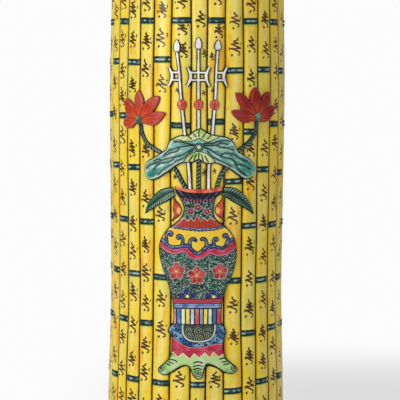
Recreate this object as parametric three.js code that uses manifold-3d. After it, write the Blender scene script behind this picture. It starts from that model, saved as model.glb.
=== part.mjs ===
// Brush pot of glazed porcelain in the form of a ring of bamboo stalks. On its front, in low relief, stands a
// vase on a three-legged stand, with three halberds, a lotus leaf, two lotus flowers and two long leaves in it.
// Lengths are in millimetres and angles in degrees. The pot stands on z = 0 and its front faces -Y.
// The relief is laid out on the unrolled wall: s runs to the right along it, z up, and h out from the crests.

import * as THREE from 'three';
import { mergeVertices } from 'three/addons/utils/BufferGeometryUtils.js';
import Module from 'manifold-3d';

const wasm = await Module();
wasm.setup();

// Body of the pot
const potHeight = 290;
const footCrestRadius = 60.3;
const waistCrestRadius = 58.4;
const bellyCrestRadius = 59.5;
const mouthCrestRadius = 58.2;
const waistHeight = 80;
const bellyHeight = 215;
const wallThickness = 2.9;
const footRingHeight = 8;
const footRingWidth = 9.7;
const floorThickness = 5;
const rimHeight = 4;
const seatGap = 0.3;
const turnedSides = 48;

// The nodes and the relief are measured up from a line this far above the foot
const patternBase = 5;

// Bamboo stalks, of which the twelve that face the front are unequal and the others share the rest
const stalkThickness = 2.8;
const grooveDepth = 1.4;
const stalkLift = 1.2;
const stalkDrop = 1;
const endChamfer = 0.8;
const stalkSection = [-1, -0.6, 0, 0.6, 1];
const sectionPower = 2.5;
const firstStalkAngle = -74.5;
const frontStalkWidths = [12, 11, 11.5, 11, 12, 13, 10.5, 11.5, 13, 12, 12.5, 12.5];
const otherStalks = 18;

// Node rings of the stalks, which fall a little from the left of the pot to its right
const nodeRise = 0.45;
const nodeBand = 4.2;
const shortNodeHeights = [18, 87, 157.5, 226];
const shortNodeFalls = [1, 2.7, 2.5, 3];
const tallNodeHeights = [55, 122.8, 190.5, 255];
const tallNodeFalls = [3.5, 2, 3, 0];

// Nodes that stray from their row: their stalk, their row and how far up they lie
const strayStalks = [4, 5, 5, 8, 8, 8, 9, 9, 10];
const strayRows = [3, 1, 2, 0, 2, 3, 0, 2, 2];
const strayShifts = [2.7, -4, -3.7, -4.5, -5.5, -1.8, -2.5, -5.5, 2.5];

// Nodes that a stalk does without, behind the middle halberd and the leaf: their stalk and their row
const bareStalks = [6, 6];
const bareRows = [2, 3];

// Heights of the relief above the crests
const stemRelief = 1.2;
const vaseRelief = 1.8;
const flowerRelief = 1.8;
const leafRelief = 2.1;
const edgeRelief = 0.5;

// Vase and stand, as half widths either side of their axis at each height
const vaseAxis = 1.2;
const neckProfile = [[121.9, 17.4], [123.8, 15.6], [127.5, 12], [132.5, 10], [138, 10.9], [141, 13.1], [144, 15.2],
  [146.5, 16.1]];
const bellyProfile = [[75.2, 17.4], [80, 19.4], [86, 21.8], [92, 24], [98, 26], [105, 26.6], [111, 25.7],
  [116, 23.2], [119.5, 20.4], [121.6, 18]];
const standProfile = [[57.8, 16.4], [63, 16], [69, 16.4], [74.9, 17.2]];
const collarProfile = [[38, 17.2], [44, 17.4], [49, 18], [51, 19.3], [54, 19.5], [57.5, 17.2]];
const apronProfile = [[30.5, 12], [34, 17.5], [37.7, 17.2]];
const legWidth = 7.4;
const leftLeg = [[-9, 35.5], [-14.5, 31.2], [-19.5, 28], [-25, 26.2]];
const middleLeg = [[1.3, 36], [1.3, 32], [1.3, 27], [1.4, 21.8]];
const rightLeg = [[11.5, 35.5], [17.2, 31.8], [22.5, 28.8], [28, 27]];

// Ear handles of the vase, widest at their middle
const handleWidth = 2.8;
const leftHandlePath = [[-15.6, 140.4], [-13, 137], [-12.2, 132.8], [-13.5, 129.2], [-16.6, 125.8]];
const rightHandlePath = [[18.2, 140], [15.7, 137], [14.8, 132.8], [16, 129.2], [18.9, 125.8]];

// Halberds from left to right, each a shaft with a pointed head, a bead and crescent blades on bars
const halberdNames = ['halberd_left', 'halberd_middle', 'halberd_right'];
const halberdTops = [-13.4, 0.6, 13.5];
const halberdFeet = [-4.4, 1.3, 7.5];
const halberdBases = [147.2, 168, 147.2];
const halberdBladeSides = [[-1], [-1, 1], [1]];
const shaftWidth = 2.1;
const headTop = 242.8;
const headWide = 238.5;
const headBase = 234.4;
const headWidth = 4.5;
const bladeTop = 225;
const bladeWaist = 219;
const bladeBottom = 212.5;
const bladeTipReach = 7;
const bladeWaistReach = 4.4;
const bladeWidth = 2;
const barWidth = 1.6;
const barReach = 2.4;
const beadCentre = 200.7;
const beadRadius = 3.1;

// Lotus leaf, stems, flowers and long leaves
const leafEye = [1.3, 173.3];
const leafOutline = [[1.5, 185.7], [4, 185], [6.7, 183], [11, 181.5], [18.5, 180], [22.3, 178.3], [25, 175],
  [27, 171], [31.5, 168.2], [36.5, 165], [40.2, 161.7], [41, 158], [39.2, 154.2], [34.6, 152], [30.5, 152.8],
  [26.5, 155.5], [21.5, 158.8], [16.5, 161.3], [12, 162.8], [8.5, 162.2], [4.3, 163], [1.2, 165], [-2.2, 163.4],
  [-6.4, 163], [-9.5, 162.8], [-13.5, 160.8], [-17, 158.1], [-20, 156], [-26.4, 152.2], [-31.5, 151.4],
  [-34.9, 154.4], [-35.7, 158.5], [-33.5, 163.6], [-28.7, 166.3], [-23.7, 169.3], [-20, 172.3], [-18.3, 176.4],
  [-15.6, 179], [-11, 181], [-5.3, 181.4], [-2.5, 183.6]];
const stemWidth = 2.2;
const leafStem = [[1.2, 147.2], [1.2, 157], [1.3, 166]];
const leftStem = [[-7.8, 147.2], [-11.4, 154.5], [-23.8, 168.9], [-34.9, 175.9], [-38.8, 183.8], [-40, 190]];
const rightStem = [[13.2, 147.2], [16, 155.3], [28, 170.4], [36.5, 176.4], [41.6, 184.5], [41.7, 191]];
const leftFlowerHeart = [-40, 194];
const leftFlowerOutline = [[-40, 188], [-43, 188], [-47, 184.8], [-53.2, 185.4], [-55.4, 188.1], [-53.2, 191.6],
  [-49.5, 192.6], [-51.9, 194], [-53.4, 198.5], [-52.7, 203.7], [-50, 204.1], [-46.3, 201.8], [-44.2, 199.8],
  [-44.2, 203.1], [-43.4, 206.9], [-40.7, 209.7], [-37.9, 206.9], [-36.2, 203.3], [-36.2, 200.8],
  [-33.4, 203.8], [-28.8, 206], [-24.7, 205.9], [-25, 202.1], [-27.5, 198.1], [-29.2, 196], [-25, 196.2],
  [-20.7, 195.4], [-22, 192.3], [-25.2, 188.7], [-29.3, 186.8], [-35.1, 187.7]];
const rightFlowerHeart = [40.8, 196];
const rightFlowerOutline = [[38.4, 190], [32.4, 188.8], [26.2, 191.6], [22.6, 196.3], [25.1, 197.6], [28.9, 197.4],
  [29.2, 199.2], [26.7, 203.7], [25.4, 208.3], [29.4, 208.3], [33.5, 205.6], [35.8, 202.8], [36, 206.9],
  [38.1, 210.4], [40.4, 212.1], [43, 210.1], [45, 206.6], [45.5, 203.6], [47.6, 206.9], [51.2, 209.1],
  [53.7, 208.5], [54.5, 204], [53, 200], [55.9, 200], [59.7, 199.4], [59.2, 195.9], [55.2, 191.4],
  [49.5, 189.2], [44.4, 189.4]];
const longLeafWidth = 9.2;
const leftLongLeaf = [[-15.2, 144.2], [-21.5, 141.8], [-28.2, 137.2], [-35.6, 129.8]];
const rightLongLeaf = [[17.8, 144.2], [23, 143], [30.4, 138.6], [40.4, 129.4]];

// Colours of the enamels
const yellowEnamel = new THREE.MeshStandardMaterial({ color: 0xe2c24b, roughness: 0.3, metalness: 0 });
const whiteGlaze = new THREE.MeshStandardMaterial({ color: 0xeef0ec, roughness: 0.25, metalness: 0 });
const bareFoot = new THREE.MeshStandardMaterial({ color: 0xd9cfbc, roughness: 0.7, metalness: 0 });
const greenEnamel = new THREE.MeshStandardMaterial({ color: 0x2f6b4f, roughness: 0.3, metalness: 0 });
const leafEnamel = new THREE.MeshStandardMaterial({ color: 0x6fb39c, roughness: 0.3, metalness: 0 });
const redEnamel = new THREE.MeshStandardMaterial({ color: 0xb8403a, roughness: 0.35, metalness: 0 });
const ironRed = new THREE.MeshStandardMaterial({ color: 0xc4502c, roughness: 0.4, metalness: 0 });
const vaseEnamel = new THREE.MeshStandardMaterial({ color: 0xa9cfae, roughness: 0.3, metalness: 0 });
const collarEnamel = new THREE.MeshStandardMaterial({ color: 0x5a8fb8, roughness: 0.3, metalness: 0 });
const standEnamel = new THREE.MeshStandardMaterial({ color: 0x9fc79a, roughness: 0.3, metalness: 0 });
const stripeEnamel = new THREE.MeshStandardMaterial({ color: 0xd9a7a0, roughness: 0.3, metalness: 0 });

// Radius of the stalks' crests: straight lines from a flared foot to a waist, a belly and a mouth drawn in
const profileHeights = [0, waistHeight, bellyHeight, potHeight];
const profileRadii = [footCrestRadius, waistCrestRadius, bellyCrestRadius, mouthCrestRadius];

function crestRadius(z) {
  const upper = profileHeights.findIndex((height, knot) => knot > 0 && z <= height);
  const step = upper < 0 ? profileHeights.length - 1 : upper;
  return THREE.MathUtils.mapLinear(z, profileHeights[step - 1], profileHeights[step], profileRadii[step - 1],
    profileRadii[step]);
}

// The wall behind the stalks is a straight tube, and the stalks are thicker where the crests swell
const stalkBackRadius = Math.min(...profileRadii) - stalkThickness;
const tubeRadius = stalkBackRadius - seatGap;
const boreRadius = tubeRadius - wallThickness;
const reliefRadius = bellyCrestRadius;

// Point at a radius and an angle from the front, towards +X
const around = (radius, angle, z) => [radius * Math.sin(angle), -radius * Math.cos(angle), z];

// Point of the relief, and its height above the crests there
function onWall([s, z], h) {
  const height = patternBase + z;
  return around(crestRadius(height) + h, s / reliefRadius, height);
}

// Solid with its faces pointing out, from the places of its points and the three points of each triangle
function solid(points, triangles) {
  const at = (corner) => new THREE.Vector3().fromArray(points, 3 * triangles[corner]);
  let volume = 0;
  for (let corner = 0; corner < triangles.length; corner += 3) {
    volume += at(corner).dot(at(corner + 1).cross(at(corner + 2)));
  }
  const triVerts = Uint32Array.from(triangles);
  if (volume < 0) {
    triVerts.reverse();
  }
  return new wasm.Manifold(new wasm.Mesh({ numProp: 3, vertProperties: Float32Array.from(points), triVerts }));
}

// Solid from rings of points that follow one another, closed at both ends by the triangles of a cap
function loft(rings, cap) {
  const count = rings[0].length;
  const last = (rings.length - 1) * count;
  const triangles = [];
  for (let row = 0; row < last; row += count) {
    for (let i = 0; i < count; i++) {
      const next = (i + 1) % count;
      triangles.push(row + i, row + next, row + count + next);
      triangles.push(row + i, row + count + next, row + count + i);
    }
  }
  for (const [a, b, c] of cap) {
    triangles.push(a, c, b, last + a, last + b, last + c);
  }
  return solid(rings.flat(2), triangles);
}

// Cap of a narrow ring: a fan from its first point
const fanCap = (count) => Array.from({ length: count - 2 }, (_, i) => [0, i + 1, i + 2]);

// Cap of a ring that runs along its front and comes back along its back: a strip between the two
function stripCap(columns) {
  const cap = [];
  for (let i = 0; i + 1 < columns; i++) {
    const behind = 2 * columns - 1 - i;
    cap.push([i, i + 1, behind - 1], [i, behind - 1, behind]);
  }
  return cap;
}

// Ring turned about the pot's axis from a closed outline of radius and height
function turned(outline) {
  const points = [...outline, outline[0]].map(([radius, z]) => new THREE.Vector2(radius, z));
  const lathe = new THREE.LatheGeometry(points, turnedSides);
  lathe.deleteAttribute('normal');
  lathe.deleteAttribute('uv');
  lathe.rotateX(Math.PI / 2);
  const merged = mergeVertices(lathe, 1e-4);
  return solid(Array.from(merged.getAttribute('position').array), Array.from(merged.index.array));
}

// Pot body: foot ring, wall and rim stand on one another, and the floor rests on the foot ring
const squareRing = (inner, outer, base, top) => turned([[inner, base], [outer, base], [outer, top], [inner, top]]);
const rimBase = potHeight - rimHeight;
const floorTop = footRingHeight + floorThickness;
const footRing = squareRing(tubeRadius - footRingWidth, tubeRadius, 0, footRingHeight);
const innerWall = squareRing(boreRadius, tubeRadius, footRingHeight, rimBase);
const mouthRim = squareRing(boreRadius, tubeRadius, rimBase, potHeight);
const potFloor = squareRing(0, boreRadius - seatGap, footRingHeight, floorTop);

// Stalks in order from the left of the front round to the right, even ones with the short node rows
const turn = THREE.MathUtils.degToRad;
const widthsLeft = 360 - frontStalkWidths.reduce((sum, width) => sum + width, 0);
const stalkWidths = [...frontStalkWidths, ...Array(otherStalks).fill(widthsLeft / otherStalks)];
const stalks = [];
let stalkEdge = firstStalkAngle;
for (const [index, width] of stalkWidths.entries()) {
  const middle = turn(stalkEdge + width / 2);
  const heights = index % 2 === 0 ? shortNodeHeights : tallNodeHeights;
  const falls = index % 2 === 0 ? shortNodeFalls : tallNodeFalls;
  const nodes = heights.map((height, row) => {
    const stray = strayStalks.findIndex((stalk, entry) => stalk === index && strayRows[entry] === row);
    return patternBase + height - falls[row] * Math.sin(middle) + (stray < 0 ? 0 : strayShifts[stray]);
  }).filter((_, row) => !bareStalks.some((stalk, entry) => stalk === index && bareRows[entry] === row));
  stalks.push({ middle, halfWidth: turn(width / 2), nodes });
  stalkEdge += width;
}

// One stalk: a rounded strip on the wall with a raised ring at each node, all of it larger by a growth
function stalkSolid({ middle, halfWidth, nodes }, growth) {
  const foot = stalkLift - growth;
  const top = potHeight - stalkDrop + growth;
  const half = nodeBand / 2 + growth;
  const stations = [{ z: foot, rise: 0 }, { z: top - endChamfer, rise: 0 }, { z: top, rise: -endChamfer }];
  for (const node of nodes) {
    if (node + half < top - endChamfer && node - half > foot) {
      stations.push({ z: node - half, rise: 0 }, { z: node, rise: nodeRise }, { z: node + half, rise: 0 });
    }
  }
  for (const knot of [waistHeight, bellyHeight]) {
    if (nodes.every((node) => Math.abs(node - knot) > half)) {
      stations.push({ z: knot, rise: 0 });
    }
  }
  stations.sort((one, other) => one.z - other.z);
  const rings = stations.map(({ z, rise }) => {
    const crest = crestRadius(z) + rise + growth;
    const reach = halfWidth + (growth - seatGap / 2) / crest;
    const front = stalkSection.map((across) => {
      const radius = crest - grooveDepth * Math.abs(across) ** sectionPower;
      return around(radius, middle + across * reach, z);
    });
    return [around(stalkBackRadius, middle, z), around(stalkBackRadius, middle - reach, z), ...front,
      around(stalkBackRadius, middle + reach, z)];
  });
  return loft(rings, fanCap(stalkSection.length + 3));
}

const grownStalks = stalks.map((stalk) => stalkSolid(stalk, seatGap));

const stripColumns = [-1, -0.55, 0.55, 1];
const wideColumns = [-1, -0.8, -0.45, 0, 0.45, 0.8, 1];

// Relief strip along a path on the wall, rounded across, from its half width at each share of its length
function strip(path, halfWidthAt, relief, steps, growth) {
  const curve = new THREE.CatmullRomCurve3(path.map(([s, z]) => new THREE.Vector3(s, z, 0)));
  const rings = [];
  for (let step = 0; step <= steps; step++) {
    const share = step / steps;
    const point = curve.getPoint(share);
    const along = curve.getTangent(share);
    const end = step === 0 ? -growth : step === steps ? growth : 0;
    const half = halfWidthAt(share) + growth;
    const at = (side, h) => onWall([point.x + end * along.x - side * half * along.y,
      point.y + end * along.y + side * half * along.x], h);
    const front = stripColumns.map((side) => at(side, growth + relief - (relief - edgeRelief) * side ** 4));
    rings.push([...front, at(1, -grooveDepth), at(-1, -grooveDepth)]);
  }
  return loft(rings, fanCap(stripColumns.length + 2));
}

// Relief either side of an axis, from rows of height and half width
function rows(axisAt, profile, relief, columns, growth) {
  const first = profile[0][0];
  const last = profile[profile.length - 1][0];
  const upwards = Math.sign(last - first);
  const rings = profile.map(([height, halfWidth]) => {
    const end = height === first ? -growth : height === last ? growth : 0;
    const z = height + upwards * end;
    const at = (side, h) => onWall([axisAt(z) + side * (halfWidth + growth), z], h);
    const front = columns.map((side) => at(side, growth + relief - (relief - edgeRelief) * side ** 6));
    return [...front, ...columns.map((side) => at(-side, -grooveDepth))];
  });
  return loft(rings, stripCap(columns.length));
}

// Relief inside an outline round a centre, highest over most of its width and rounded to the edge
function patch(centre, outline, relief, growth) {
  const ringAt = (share, h) => outline.map(([s, z]) => {
    const ds = s - centre[0];
    const dz = z - centre[1];
    const grown = share * (1 + growth / Math.hypot(ds, dz));
    return onWall([centre[0] + grown * ds, centre[1] + grown * dz], h);
  });
  const back = [0.15, 0.6, 1].map((share) => ringAt(share, -grooveDepth));
  const front = [0.9, 0.65, 0.4, 0.15].map((share) => ringAt(share, relief + growth));
  return loft([...back, ringAt(1, edgeRelief + growth), ...front], fanCap(outline.length));
}

const vaseRows = (profile, growth) => rows(() => vaseAxis, profile, vaseRelief, wideColumns, growth);
const evenWidth = (width) => () => width / 2;
const bladeShape = (share) => (bladeWidth / 2) * (1.1 - (2 * share - 1) ** 2);
const handleShape = (share) => (handleWidth / 2) * (0.8 + Math.sin(Math.PI * share) ** 4);
const legShape = (share) => (legWidth / 2) * (1.25 - 0.4 * share) * Math.sqrt(1 - 0.8 * share ** 8);
const longLeafShape = (share) => (longLeafWidth / 2) * Math.min(1, 0.72 + share) * (1 - 0.95 * share ** 3);

// Halberd: its head, shaft and bead in one outline, and its blades joined to the shaft by two bars each
function halberdSolid(index, growth) {
  const base = halberdBases[index];
  const slope = (halberdTops[index] - halberdFeet[index]) / (headTop - Math.min(...halberdBases));
  const axisAt = (z) => halberdTops[index] + (z - headTop) * slope;
  const half = shaftWidth / 2;
  const outline = [[base, half], [beadCentre - beadRadius, half], [beadCentre, beadRadius],
    [beadCentre + beadRadius, half], [headBase, half], [headWide, headWidth / 2], [headTop, half / 5]];
  const pieces = [rows(axisAt, outline, stemRelief, stripColumns, growth)];
  const axis = axisAt(bladeWaist);
  const sides = halberdBladeSides[index];
  for (const side of sides) {
    const tip = axis + side * bladeTipReach;
    const blade = [[tip, bladeTop], [axis + side * bladeWaistReach, bladeWaist], [tip, bladeBottom]];
    pieces.push(strip(blade, bladeShape, stemRelief, 6, growth));
  }
  const barEnd = bladeWaistReach + bladeWidth / 4;
  const left = axis + Math.min(0, ...sides) * barEnd;
  const right = axis + Math.max(0, ...sides) * barEnd;
  for (const z of [bladeWaist - barReach, bladeWaist + barReach]) {
    pieces.push(strip([[left, z], [right, z]], evenWidth(barWidth), stemRelief, 2, growth));
  }
  return wasm.Manifold.union(pieces);
}

// Feet of the stand: an apron and three scrolled legs
function standFeetSolid(growth) {
  const legs = [leftLeg, middleLeg, rightLeg].map((path) => strip(path, legShape, vaseRelief, 6, growth));
  return wasm.Manifold.union([vaseRows(apronProfile, growth), ...legs]);
}

// Sprigs of the relief in the order in which they lie on one another, each as a shape that can be grown
const stem = (path) => (growth) => strip(path, evenWidth(stemWidth), stemRelief, 12, growth);
const handle = (path) => (growth) => strip(path, handleShape, stemRelief, 8, growth);
const longLeaf = (path) => (growth) => strip(path, longLeafShape, stemRelief, 8, growth);
const sprigs = [
  { name: 'vase_neck', material: vaseEnamel, shape: (growth) => vaseRows(neckProfile, growth) },
  { name: 'vase_belly', material: vaseEnamel, shape: (growth) => vaseRows(bellyProfile, growth) },
  { name: 'stand_column', material: stripeEnamel, shape: (growth) => vaseRows(standProfile, growth) },
  { name: 'stand_collar', material: collarEnamel, shape: (growth) => vaseRows(collarProfile, growth) },
  { name: 'stand_feet', material: standEnamel, shape: standFeetSolid },
  { name: 'ear_handle_left', material: ironRed, shape: handle(leftHandlePath) },
  { name: 'ear_handle_right', material: ironRed, shape: handle(rightHandlePath) },
  ...halberdNames.map((name, index) => ({ name, material: whiteGlaze,
    shape: (growth) => halberdSolid(index, growth) })),
  { name: 'leaf_stem', material: greenEnamel, shape: stem(leafStem) },
  { name: 'flower_stem_left', material: greenEnamel, shape: stem(leftStem) },
  { name: 'flower_stem_right', material: greenEnamel, shape: stem(rightStem) },
  { name: 'lotus_leaf', material: leafEnamel, shape: (growth) => patch(leafEye, leafOutline, leafRelief, growth) },
  { name: 'lotus_flower_left', material: redEnamel,
    shape: (growth) => patch(leftFlowerHeart, leftFlowerOutline, flowerRelief, growth) },
  { name: 'lotus_flower_right', material: redEnamel,
    shape: (growth) => patch(rightFlowerHeart, rightFlowerOutline, flowerRelief, growth) },
  { name: 'long_leaf_left', material: greenEnamel, shape: longLeaf(leftLongLeaf) },
  { name: 'long_leaf_right', material: greenEnamel, shape: longLeaf(rightLongLeaf) },
];

const brushPot = new THREE.Group();

function addPart(name, body, material) {
  const { vertProperties, triVerts } = body.getMesh();
  const geometry = new THREE.BufferGeometry();
  geometry.setAttribute('position', new THREE.BufferAttribute(vertProperties, 3));
  geometry.setIndex(new THREE.BufferAttribute(triVerts, 1));
  const mesh = new THREE.Mesh(geometry, material);
  mesh.name = name;
  brushPot.add(mesh);
}

addPart('foot_ring', footRing, bareFoot);
addPart('inner_wall', innerWall, whiteGlaze);
addPart('mouth_rim', mouthRim, whiteGlaze);
addPart('pot_floor', potFloor, whiteGlaze);
for (const [index, stalk] of stalks.entries()) {
  addPart(`stalk_${String(index + 1).padStart(2, '0')}`, stalkSolid(stalk, 0), yellowEnamel);
}

// Each sprig is cut to seat on the stalks and on the sprigs that lie under it
const laid = [];
for (const { name, material, shape } of sprigs) {
  const seated = [...grownStalks, ...laid].reduce((body, piece) => body.subtract(piece), shape(0));
  addPart(name, seated, material);
  laid.push(shape(seatGap));
}

export default brushPot;
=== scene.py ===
# %% [markdown]
# Brush pot in yellow enamel
#
# The real object is a tall porcelain pot moulded as a ring of bamboo stalks. Its front carries a vase of
# lotus and halberds in low relief, and everything on it is painted with a fine dark outline and filled with
# glossy enamels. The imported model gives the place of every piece, and this script gives each its finish.

# %% The frame
import copy
import math

import bpy
import numpy as np
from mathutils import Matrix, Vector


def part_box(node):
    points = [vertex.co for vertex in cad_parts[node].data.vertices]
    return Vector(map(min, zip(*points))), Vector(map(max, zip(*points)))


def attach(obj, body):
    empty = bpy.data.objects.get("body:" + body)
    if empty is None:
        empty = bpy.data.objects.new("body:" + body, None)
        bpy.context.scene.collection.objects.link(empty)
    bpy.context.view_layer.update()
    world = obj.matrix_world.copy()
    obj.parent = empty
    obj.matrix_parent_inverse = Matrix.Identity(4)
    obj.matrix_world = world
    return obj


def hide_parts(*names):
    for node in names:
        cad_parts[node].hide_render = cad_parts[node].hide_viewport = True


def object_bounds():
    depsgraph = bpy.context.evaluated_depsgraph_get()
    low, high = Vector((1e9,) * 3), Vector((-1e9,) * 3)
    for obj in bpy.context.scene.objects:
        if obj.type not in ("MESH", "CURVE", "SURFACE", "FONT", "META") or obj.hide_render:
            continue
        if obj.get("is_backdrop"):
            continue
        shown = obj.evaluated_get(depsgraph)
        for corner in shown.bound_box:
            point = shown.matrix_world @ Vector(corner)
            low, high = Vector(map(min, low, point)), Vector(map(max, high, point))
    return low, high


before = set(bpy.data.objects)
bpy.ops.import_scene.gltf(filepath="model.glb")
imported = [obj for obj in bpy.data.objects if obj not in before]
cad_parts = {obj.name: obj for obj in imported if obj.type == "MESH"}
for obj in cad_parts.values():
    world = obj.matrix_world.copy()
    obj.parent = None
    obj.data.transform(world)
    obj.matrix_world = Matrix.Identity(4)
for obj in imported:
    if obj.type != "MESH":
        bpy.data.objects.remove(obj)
cad_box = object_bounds()
MM = 0.001
POT_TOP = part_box("mouth_rim")[1].z / MM
TUBE_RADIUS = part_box("inner_wall")[1].x / MM
BORE_RADIUS = TUBE_RADIUS - 2.9
FLOOR_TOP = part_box("pot_floor")[1].z / MM
FOOT_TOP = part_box("foot_ring")[1].z / MM
print("nodes:", len(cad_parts), "height in mm:", round(POT_TOP, 1), "radius:", round(TUBE_RADIUS, 1))

# %% [markdown]
# One system of places for the whole surface
#
# The decoration was painted on the wall, so it is easiest to lay it out on the unrolled wall: s runs to the
# right along the crests, z up from a line a little above the foot, and h out from the crests. Every shape
# below is worked out in millimetres on that sheet, as whole arrays, and rolled round the pot at the end.

# %% The wall and its stalks
PROFILE_HEIGHTS = [0, 80, 215, 290]
PROFILE_RADII = [60.3, 58.4, 59.5, 58.2]
RELIEF_RADIUS = 59.5
PATTERN_BASE = 5
STALK_BACK = TUBE_RADIUS + 0.3
STALK_FOOT = 1.2
STALK_TOP = POT_TOP - 1
FIRST_STALK_ANGLE = -74.5
FRONT_STALK_WIDTHS = [12, 11, 11.5, 11, 12, 13, 10.5, 11.5, 13, 12, 12.5, 12.5]
OTHER_STALKS = 18
SHORT_NODE_HEIGHTS = [18, 87, 157.5, 226]
SHORT_NODE_FALLS = [1, 2.7, 2.5, 3]
TALL_NODE_HEIGHTS = [55, 122.8, 190.5, 255]
TALL_NODE_FALLS = [3.5, 2, 3, 0]
STRAY_NODES = {
    (4, 3): 2.7, (5, 1): -4, (5, 2): -3.7, (8, 0): -4.5, (8, 2): -5.5, (8, 3): -1.8, (9, 0): -2.5,
    (9, 2): -5.5, (10, 2): 2.5,
}
BARE_NODES = {(6, 2), (6, 3)}

other_width = (360 - sum(FRONT_STALK_WIDTHS)) / OTHER_STALKS
stalk_widths = np.array(FRONT_STALK_WIDTHS + [other_width] * OTHER_STALKS)
stalk_edges = np.radians(FIRST_STALK_ANGLE + np.concatenate([[0], np.cumsum(stalk_widths)]))
stalk_middles = (stalk_edges[:-1] + stalk_edges[1:]) / 2
stalk_halves = np.diff(stalk_edges) / 2


def crest_radius(z):
    """Radius of the crests at height z: from one knot to the next, half straight and half eased."""
    step = np.clip(np.searchsorted(PROFILE_HEIGHTS, z) - 1, 0, len(PROFILE_HEIGHTS) - 2)
    low = np.take(PROFILE_HEIGHTS, step)
    share = np.clip((z - low) / (np.take(PROFILE_HEIGHTS, step + 1) - low), 0, 1)
    eased = 0.5 * share + 0.5 * share * share * (3 - 2 * share)
    return np.take(PROFILE_RADII, step) * (1 - eased) + np.take(PROFILE_RADII, step + 1) * eased


def around(radius, angle, z):
    """Points in metres at a radius and an angle from the front, towards +X."""
    return np.stack(np.broadcast_arrays(radius * np.sin(angle), -radius * np.cos(angle), z), -1) * MM


def roll(s, z, h):
    """Points on the pot: the angle is s over the radius of the relief, and h adds to the crests' radius."""
    return around(crest_radius(z + PATTERN_BASE) + h, s / RELIEF_RADIUS, z + PATTERN_BASE)


def stalk_nodes(index):
    """Heights of a stalk's nodes: its row's height, less a fall that grows to the right, plus any stray."""
    tall = index % 2
    heights, falls = (TALL_NODE_HEIGHTS, TALL_NODE_FALLS) if tall else (SHORT_NODE_HEIGHTS, SHORT_NODE_FALLS)
    rows = [row for row in range(len(heights)) if (index, row) not in BARE_NODES]
    lean = math.sin(stalk_middles[index])
    return np.array([heights[row] - falls[row] * lean + STRAY_NODES.get((index, row), 0) for row in rows])


print("stalks:", len(stalk_middles), "widest in degrees:", stalk_widths.max())

# %% [markdown]
# Distances do the drawing
#
# A painter draws an outline and fills it. Here each outline is a line of points, and every grid keeps its
# distance to the lines as a value. A finish then inks the places where the distance is small, which stays
# crisp at any size. Curves run smoothly through their points, and are stepped evenly along their length.

# %% Curves and distances
FAR = 99.0


def smooth(points, count, closed=False):
    """Even steps along a curve through points, each span a cubic whose slopes come from its neighbours."""
    points = np.array(points, float)
    if closed:
        knots = np.concatenate([points[-1:], points, points[:2]])
    else:
        knots = np.concatenate([2 * points[:1] - points[1:2], points, 2 * points[-1:] - points[-2:-1]])
    spans = len(knots) - 3
    place = np.linspace(0, spans, 12 * spans + 1)
    span = np.minimum(place.astype(int), spans - 1)
    u = (place - span)[:, None]
    a, b, c, d = (knots[span + corner] for corner in range(4))
    curve = b + 0.5 * u * (c - a + u * (2 * a - 5 * b + 4 * c - d + u * (3 * (b - c) + d - a)))
    length = np.concatenate([[0], np.cumsum(np.hypot(*np.diff(curve, axis=0).T))])
    steps = np.linspace(0, length[-1], count, endpoint=not closed)
    return np.stack([np.interp(steps, length, curve[:, 0]), np.interp(steps, length, curve[:, 1])], -1)


def to_line(s, z, line, closed=False):
    """Distance from each place to a line of straight spans."""
    line = np.array(line, float)
    if closed:
        line = np.concatenate([line, line[:1]])
    best = np.full(np.broadcast(s, z).shape, FAR)
    for (s0, z0), (s1, z1) in zip(line[:-1], line[1:]):
        ds, dz = s1 - s0, z1 - z0
        share = np.clip(((s - s0) * ds + (z - z0) * dz) / max(ds * ds + dz * dz, 1e-9), 0, 1)
        best = np.minimum(best, np.hypot(s - s0 - share * ds, z - z0 - share * dz))
    return best


def to_lines(s, z, lines):
    """Distance from each place to the nearest of some lines."""
    return np.min([to_line(s, z, line) for line in lines], axis=0)


def to_points(s, z, centres):
    """Distance from each place to the nearest of some points."""
    return np.min([np.hypot(s - cs, z - cz) for cs, cz in centres], axis=0)


def inside(s, z, outline):
    """Whether each place lies in a closed outline: a ray to the right crosses it an odd number of times."""
    odd = np.zeros(np.broadcast(s, z).shape, bool)
    for (s0, z0), (s1, z1) in zip(outline, np.roll(outline, -1, axis=0)):
        if z0 != z1:
            odd ^= ((z0 > z) != (z1 > z)) & (s < s0 + (z - z0) * (s1 - s0) / (z1 - z0))
    return odd


def signed(s, z, outline):
    """Distance to a closed outline, less than nothing inside it."""
    return np.where(inside(s, z, outline), -1, 1) * to_line(s, z, outline, closed=True)


def above(s, z, line):
    """Height over a line that runs from left to right."""
    line = np.array(line, float)
    return z - np.interp(s, line[:, 0], line[:, 1])


def swell(edge, rim, top, width):
    """Height that rises from the rim to the top as a quarter of an ellipse over a width from the edge."""
    share = np.clip(edge / width, 0, 1)
    return rim + (top - rim) * np.sqrt(1 - (1 - share) ** 2)


def dent(distance, width):
    """Share of a soft dent, a bell curve of the distance over its width."""
    return np.exp(-((distance / width) ** 2))


print("steps along a test curve:", len(smooth([(0, 0), (1, 2), (3, 2)], 20)))

# %% [markdown]
# From grids to closed bodies
#
# Each body is made of rings of points, stitched to their neighbours and closed at both ends. A relief piece
# is a front grid that returns behind itself, below the grooves, so that it sits in the stalks as the moulded
# relief grows from the wall. Values worked out on the grid are stored with its points for the finishes.

# %% Bodies
RELIEF_SEAT = 1.9
BACK_COLUMNS = 6


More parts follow.
